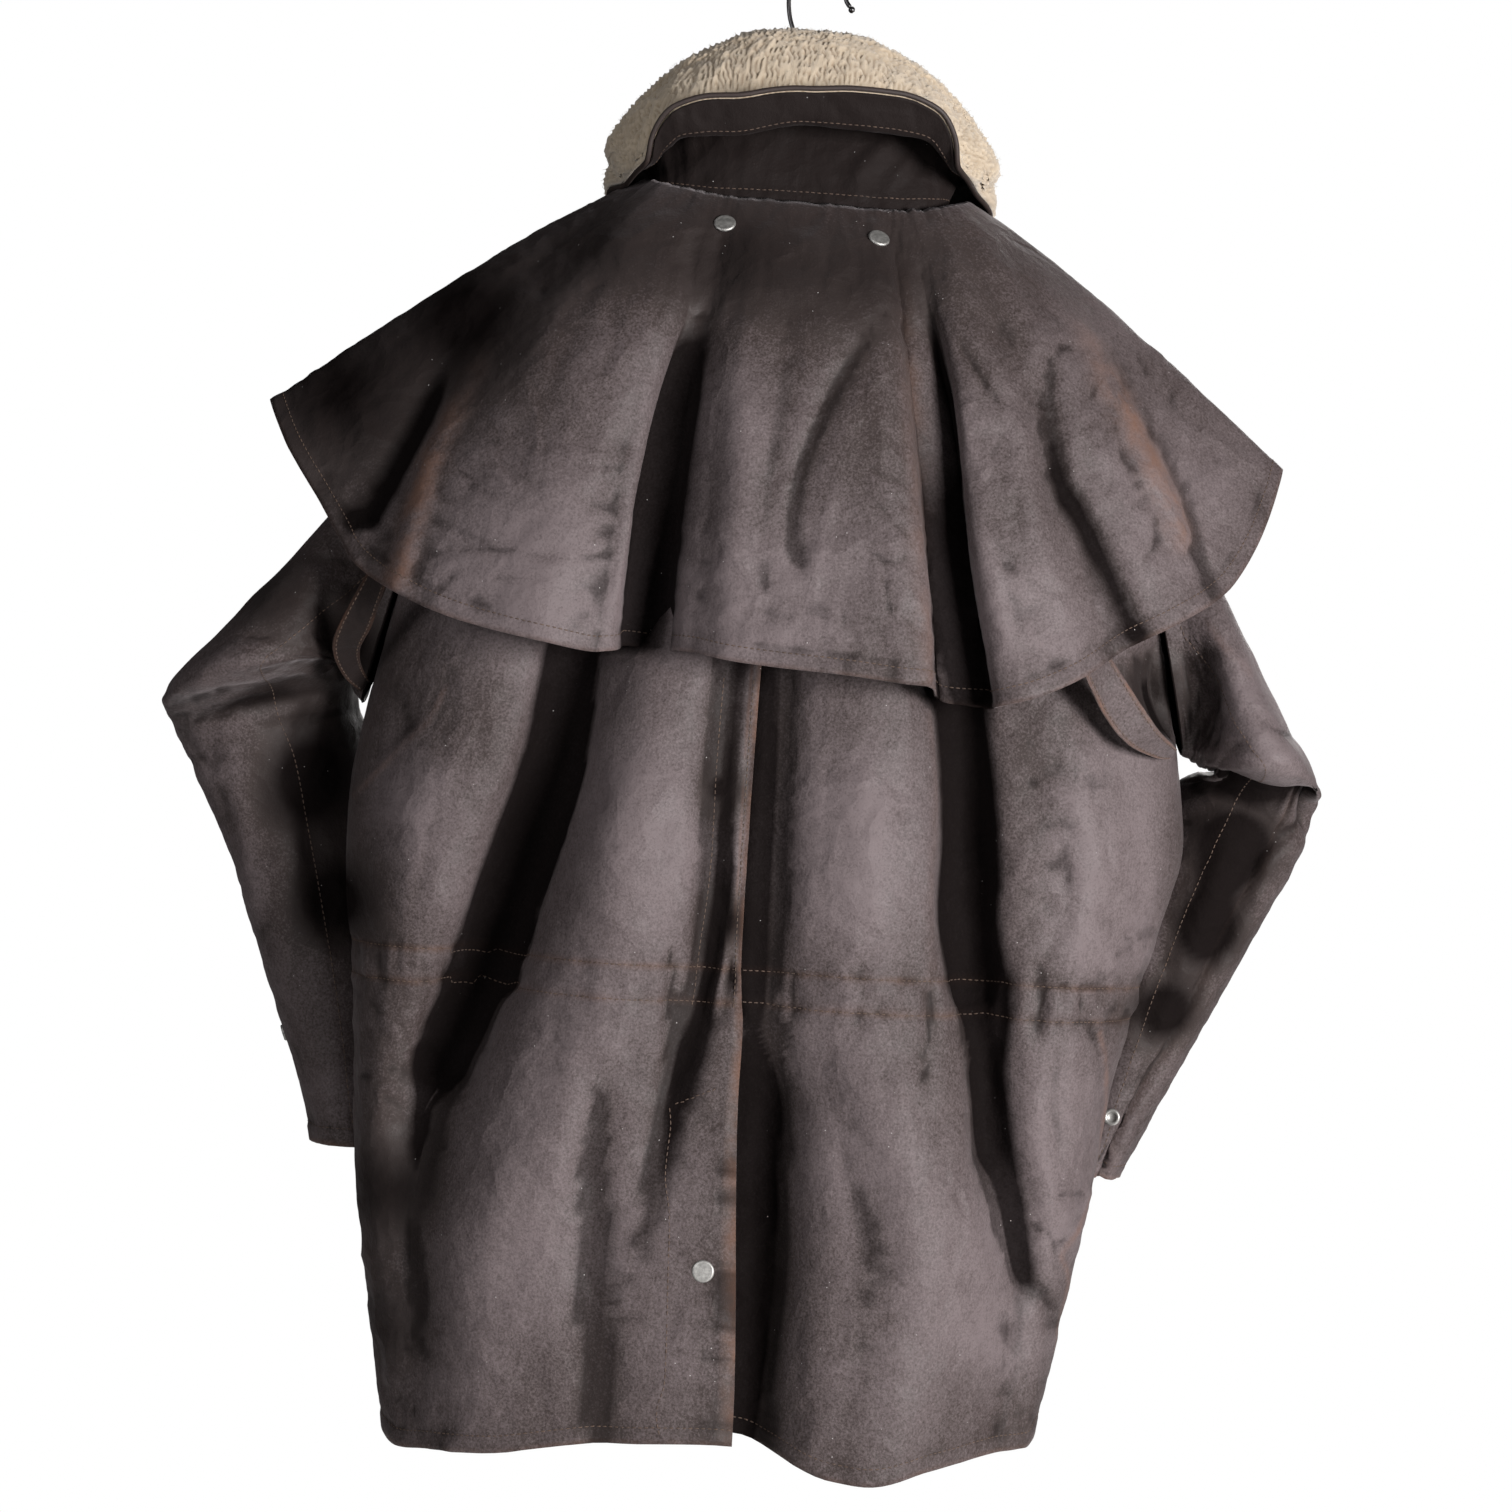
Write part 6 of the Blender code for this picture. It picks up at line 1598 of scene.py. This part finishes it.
for side in ("left", "right"):
    makeStrap(side)
stitches = seamThread("stitches", threadLines, thread)
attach(stitches, "root")
print("straps and stitches made")

# Snap caps: a rolled rim, a dished ring and a low dome, plain all over

capShape = ((0.0, -0.10), (0.86, -0.10), (0.97, 0.12), (1.0, 0.36), (0.985, 0.60), (0.93, 0.80), (0.86, 0.90),
            (0.78, 0.90), (0.70, 0.87), (0.45, 0.95), (0.20, 0.99), (0.0, 1.0))
socketShape = ((0.0, -0.10), (0.90, -0.10), (1.0, 0.20), (1.0, 0.60), (0.92, 0.86), (0.76, 0.92),
               (0.60, 0.80), (0.54, 0.45), (0.50, 0.20), (0.0, 0.20))


def makeSnap(name):
    points = np.array([vertex.co for vertex in nodes[name].data.vertices])
    centre = points.mean(axis=0)
    axes = np.linalg.eigh(np.cov((points - centre).T))[1]
    axis = axes[:, 0]
    outward = np.array([0, 1, 0]) if name.startswith("snap_front") else np.array([0, -1, 0])
    if name == "snap_cuff_left":
        outward = np.array([-1.0, -0.35, 0])
    if np.dot(axis, outward) < 0:
        axis = -axis
    along = (points - centre) @ axis
    radius = np.linalg.norm((points - centre) - along[:, None] * axis, axis=1).max()
    height = along.max() - along.min()
    base = centre + axis * along.min()
    shape = socketShape if name == "snap_cuff_right" else capShape
    piece = lathe(name.replace("_", " ").title().replace(" ", "") + "Cap", base, axis,
                  [(wide * radius, high * height) for wide, high in shape], 40, capMetal)
    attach(piece, "root")
    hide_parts(name)


for name in sorted(nodes):
    if name.startswith("snap_"):
        makeSnap(name)
print("snaps made")

# Hanger

hangerLooks = {"barWidth": 0.0120, "barHeight": 0.0200, "barSides": 28, "reach": 0.190,
               "clearance": 0.0006, "end": 0.6, "wire": 0.0016, "ball": 0.0024}

# The hook's wire from its stem over the top to the ball, x and z
hookSpine = ((0.000, -0.086), (-0.003, -0.074), (-0.010, -0.062), (-0.0165, -0.050), (-0.0203, -0.038),
             (-0.0212, -0.024), (-0.0180, -0.0095), (-0.0100, -0.0010), (0.000, 0.0016), (0.0100, -0.0010),
             (0.0172, -0.0090), (0.0185, -0.0190), (0.0188, -0.0262), (0.0215, -0.0305))


def barTop(x):
    side = "left" if x < 0 else "right"
    neckX = neckLine(side, "back", np.zeros(1))[0, 0]
    share = min((abs(x) - shoulder[0]) / (abs(neckX) - shoulder[0]), 1.0)
    height = shoulderSeam(side, np.array([share]))[0, 2]
    return height - clothLooks["thickness"] / 2 - hangerLooks["clearance"]


def makeHanger():
    reach = hangerLooks["reach"]
    xs = np.linspace(-reach, reach, 81)
    narrow = hangerLooks["end"] + (1 - hangerLooks["end"]) * ease(reach, reach - 0.02, np.abs(xs))
    sides = hangerLooks["barSides"]
    angles = np.linspace(0, 2 * math.pi, sides, endpoint=False)
    rings = []
    for x, share in zip(xs, narrow):
        middle = np.array([x, 0, barTop(x) - hangerLooks["barHeight"] / 2])
        wide, high = hangerLooks["barWidth"] / 2 * share, hangerLooks["barHeight"] / 2 * share
        rings.append(middle + np.stack([0 * angles, np.cos(angles) * wide, np.sin(angles) * high], -1))
    first, last = (np.repeat(ring.mean(0)[None], sides, 0) for ring in (rings[0], rings[-1]))
    rings = [first] + rings + [last]
    bar = meshFrom("hangerBar", np.concatenate(rings), tubeQuads(len(rings), sides), barWood)
    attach(bar, "root")
    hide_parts("hanger_bar")
    wire = hangerLooks["wire"]
    lowerStem = [(0.0, 0.0, z) for z in np.linspace(barTop(0.0) + seamGap, -0.092, 8)]
    spine = np.array([(x, 0.0, z) for x, z in hookSpine])
    upper = roundCurve(np.linspace(0, len(spine) - 1, 90), spine)
    onward = unit(upper[-1] - upper[-2])
    steps = np.linspace(0.0004, 0.0048, 9)
    swell = hangerLooks["ball"] * np.sqrt(np.maximum(1 - ((steps - 0.0026) / 0.0024) ** 2, 0.05))
    path = lowerStem + list(upper) + [upper[-1] + onward * step for step in steps]
    radii = [wire] * (len(lowerStem) + len(upper)) + list(np.maximum(swell, wire * 0.5))
    hook = tube("hangerHook", path, radii, 20, hookMetal)
    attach(hook, "root")
    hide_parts("hanger_hook")


makeHanger()
print("hanger made")

# Floor, light and camera

stageLooks = {
    "floor": -1.62, "floorRadius": 1.6,
    "key": ((1.86, -2.22, -0.45), 0.9, 152.0, (1.0, 0.985, 0.985)),
    "fill": ((-1.85, -2.20, -0.15), 1.1, 27.0, (0.98, 0.98, 1.0)),
    "top": ((0.2, -0.5, 1.6), 1.0, 2.0, (1.0, 0.99, 0.97)),
    "front": ((0.9, 2.7, 0.4), 1.5, 48.0, (1.0, 0.98, 0.96)),
    "world": 0.012,
}


def areaLight(name):
    place, size, power, colour = stageLooks[name]
    light = bpy.data.lights.new(name + "Light", "AREA")
    light.size = size
    light.energy = power
    light.color = colour
    lamp = bpy.data.objects.new(name + "Light", light)
    lamp.location = place
    lamp.rotation_mode = "QUATERNION"
    lamp.rotation_quaternion = (Vector((0, 0, -0.55)) - Vector(place)).to_track_quat("-Z", "Y")
    bpy.context.scene.collection.objects.link(lamp)


def makeStage():
    floorMaterial = plainMaterial("floorPaper", (0.86, 0.86, 0.85), 0.9)
    profile = ((0.0, 0.0), (stageLooks["floorRadius"], 0.0), (stageLooks["floorRadius"], -0.01), (0.0, -0.01))
    floor = lathe("floor", np.array([0, 0, stageLooks["floor"]]), (0, 0, 1), profile, 96, floorMaterial)
    for name in ("key", "fill", "top", "front"):
        areaLight(name)
    world = bpy.data.worlds.new("paleWorld")
    bpy.context.scene.world = world
    world.use_nodes = True
    tree = world.node_tree
    dim = tree.nodes["Background"]
    dim.inputs[0].default_value = (1, 1, 1, 1)
    dim.inputs[1].default_value = stageLooks["world"]
    white = put(tree, "ShaderNodeBackground", {0: (1, 1, 1, 1), 1: 1.0})
    path = put(tree, "ShaderNodeLightPath")
    choice = put(tree, "ShaderNodeMixShader")
    tree.links.new(path.outputs["Is Camera Ray"], choice.inputs[0])
    tree.links.new(dim.outputs[0], choice.inputs[1])
    tree.links.new(white.outputs[0], choice.inputs[2])
    tree.links.new(choice.outputs[0], tree.nodes["World Output"].inputs[0])


def makeCamera():
    eye = Vector((photo["aim"][0], -photo["distance"], photo["aim"][1]))
    camera = bpy.data.cameras.new("photoEye")
    halfFrame = photo["middle"] * photo["pixel"]
    camera.sensor_fit = "HORIZONTAL"
    camera.angle = 2 * math.atan(halfFrame / photo["distance"])
    holder = bpy.data.objects.new("photoEye", camera)
    looking = (Vector((eye.x, 0, eye.z)) - eye).to_track_quat("-Z", "Y").to_matrix().to_4x4()
    holder.matrix_world = Matrix.Translation(eye) @ looking @ Matrix.Rotation(photo["turn"], 4, "Z")
    bpy.context.scene.collection.objects.link(holder)
    bpy.context.scene.camera = holder


makeStage()
makeCamera()
bpy.context.scene.view_settings.view_transform = "Standard"
print("stage made")
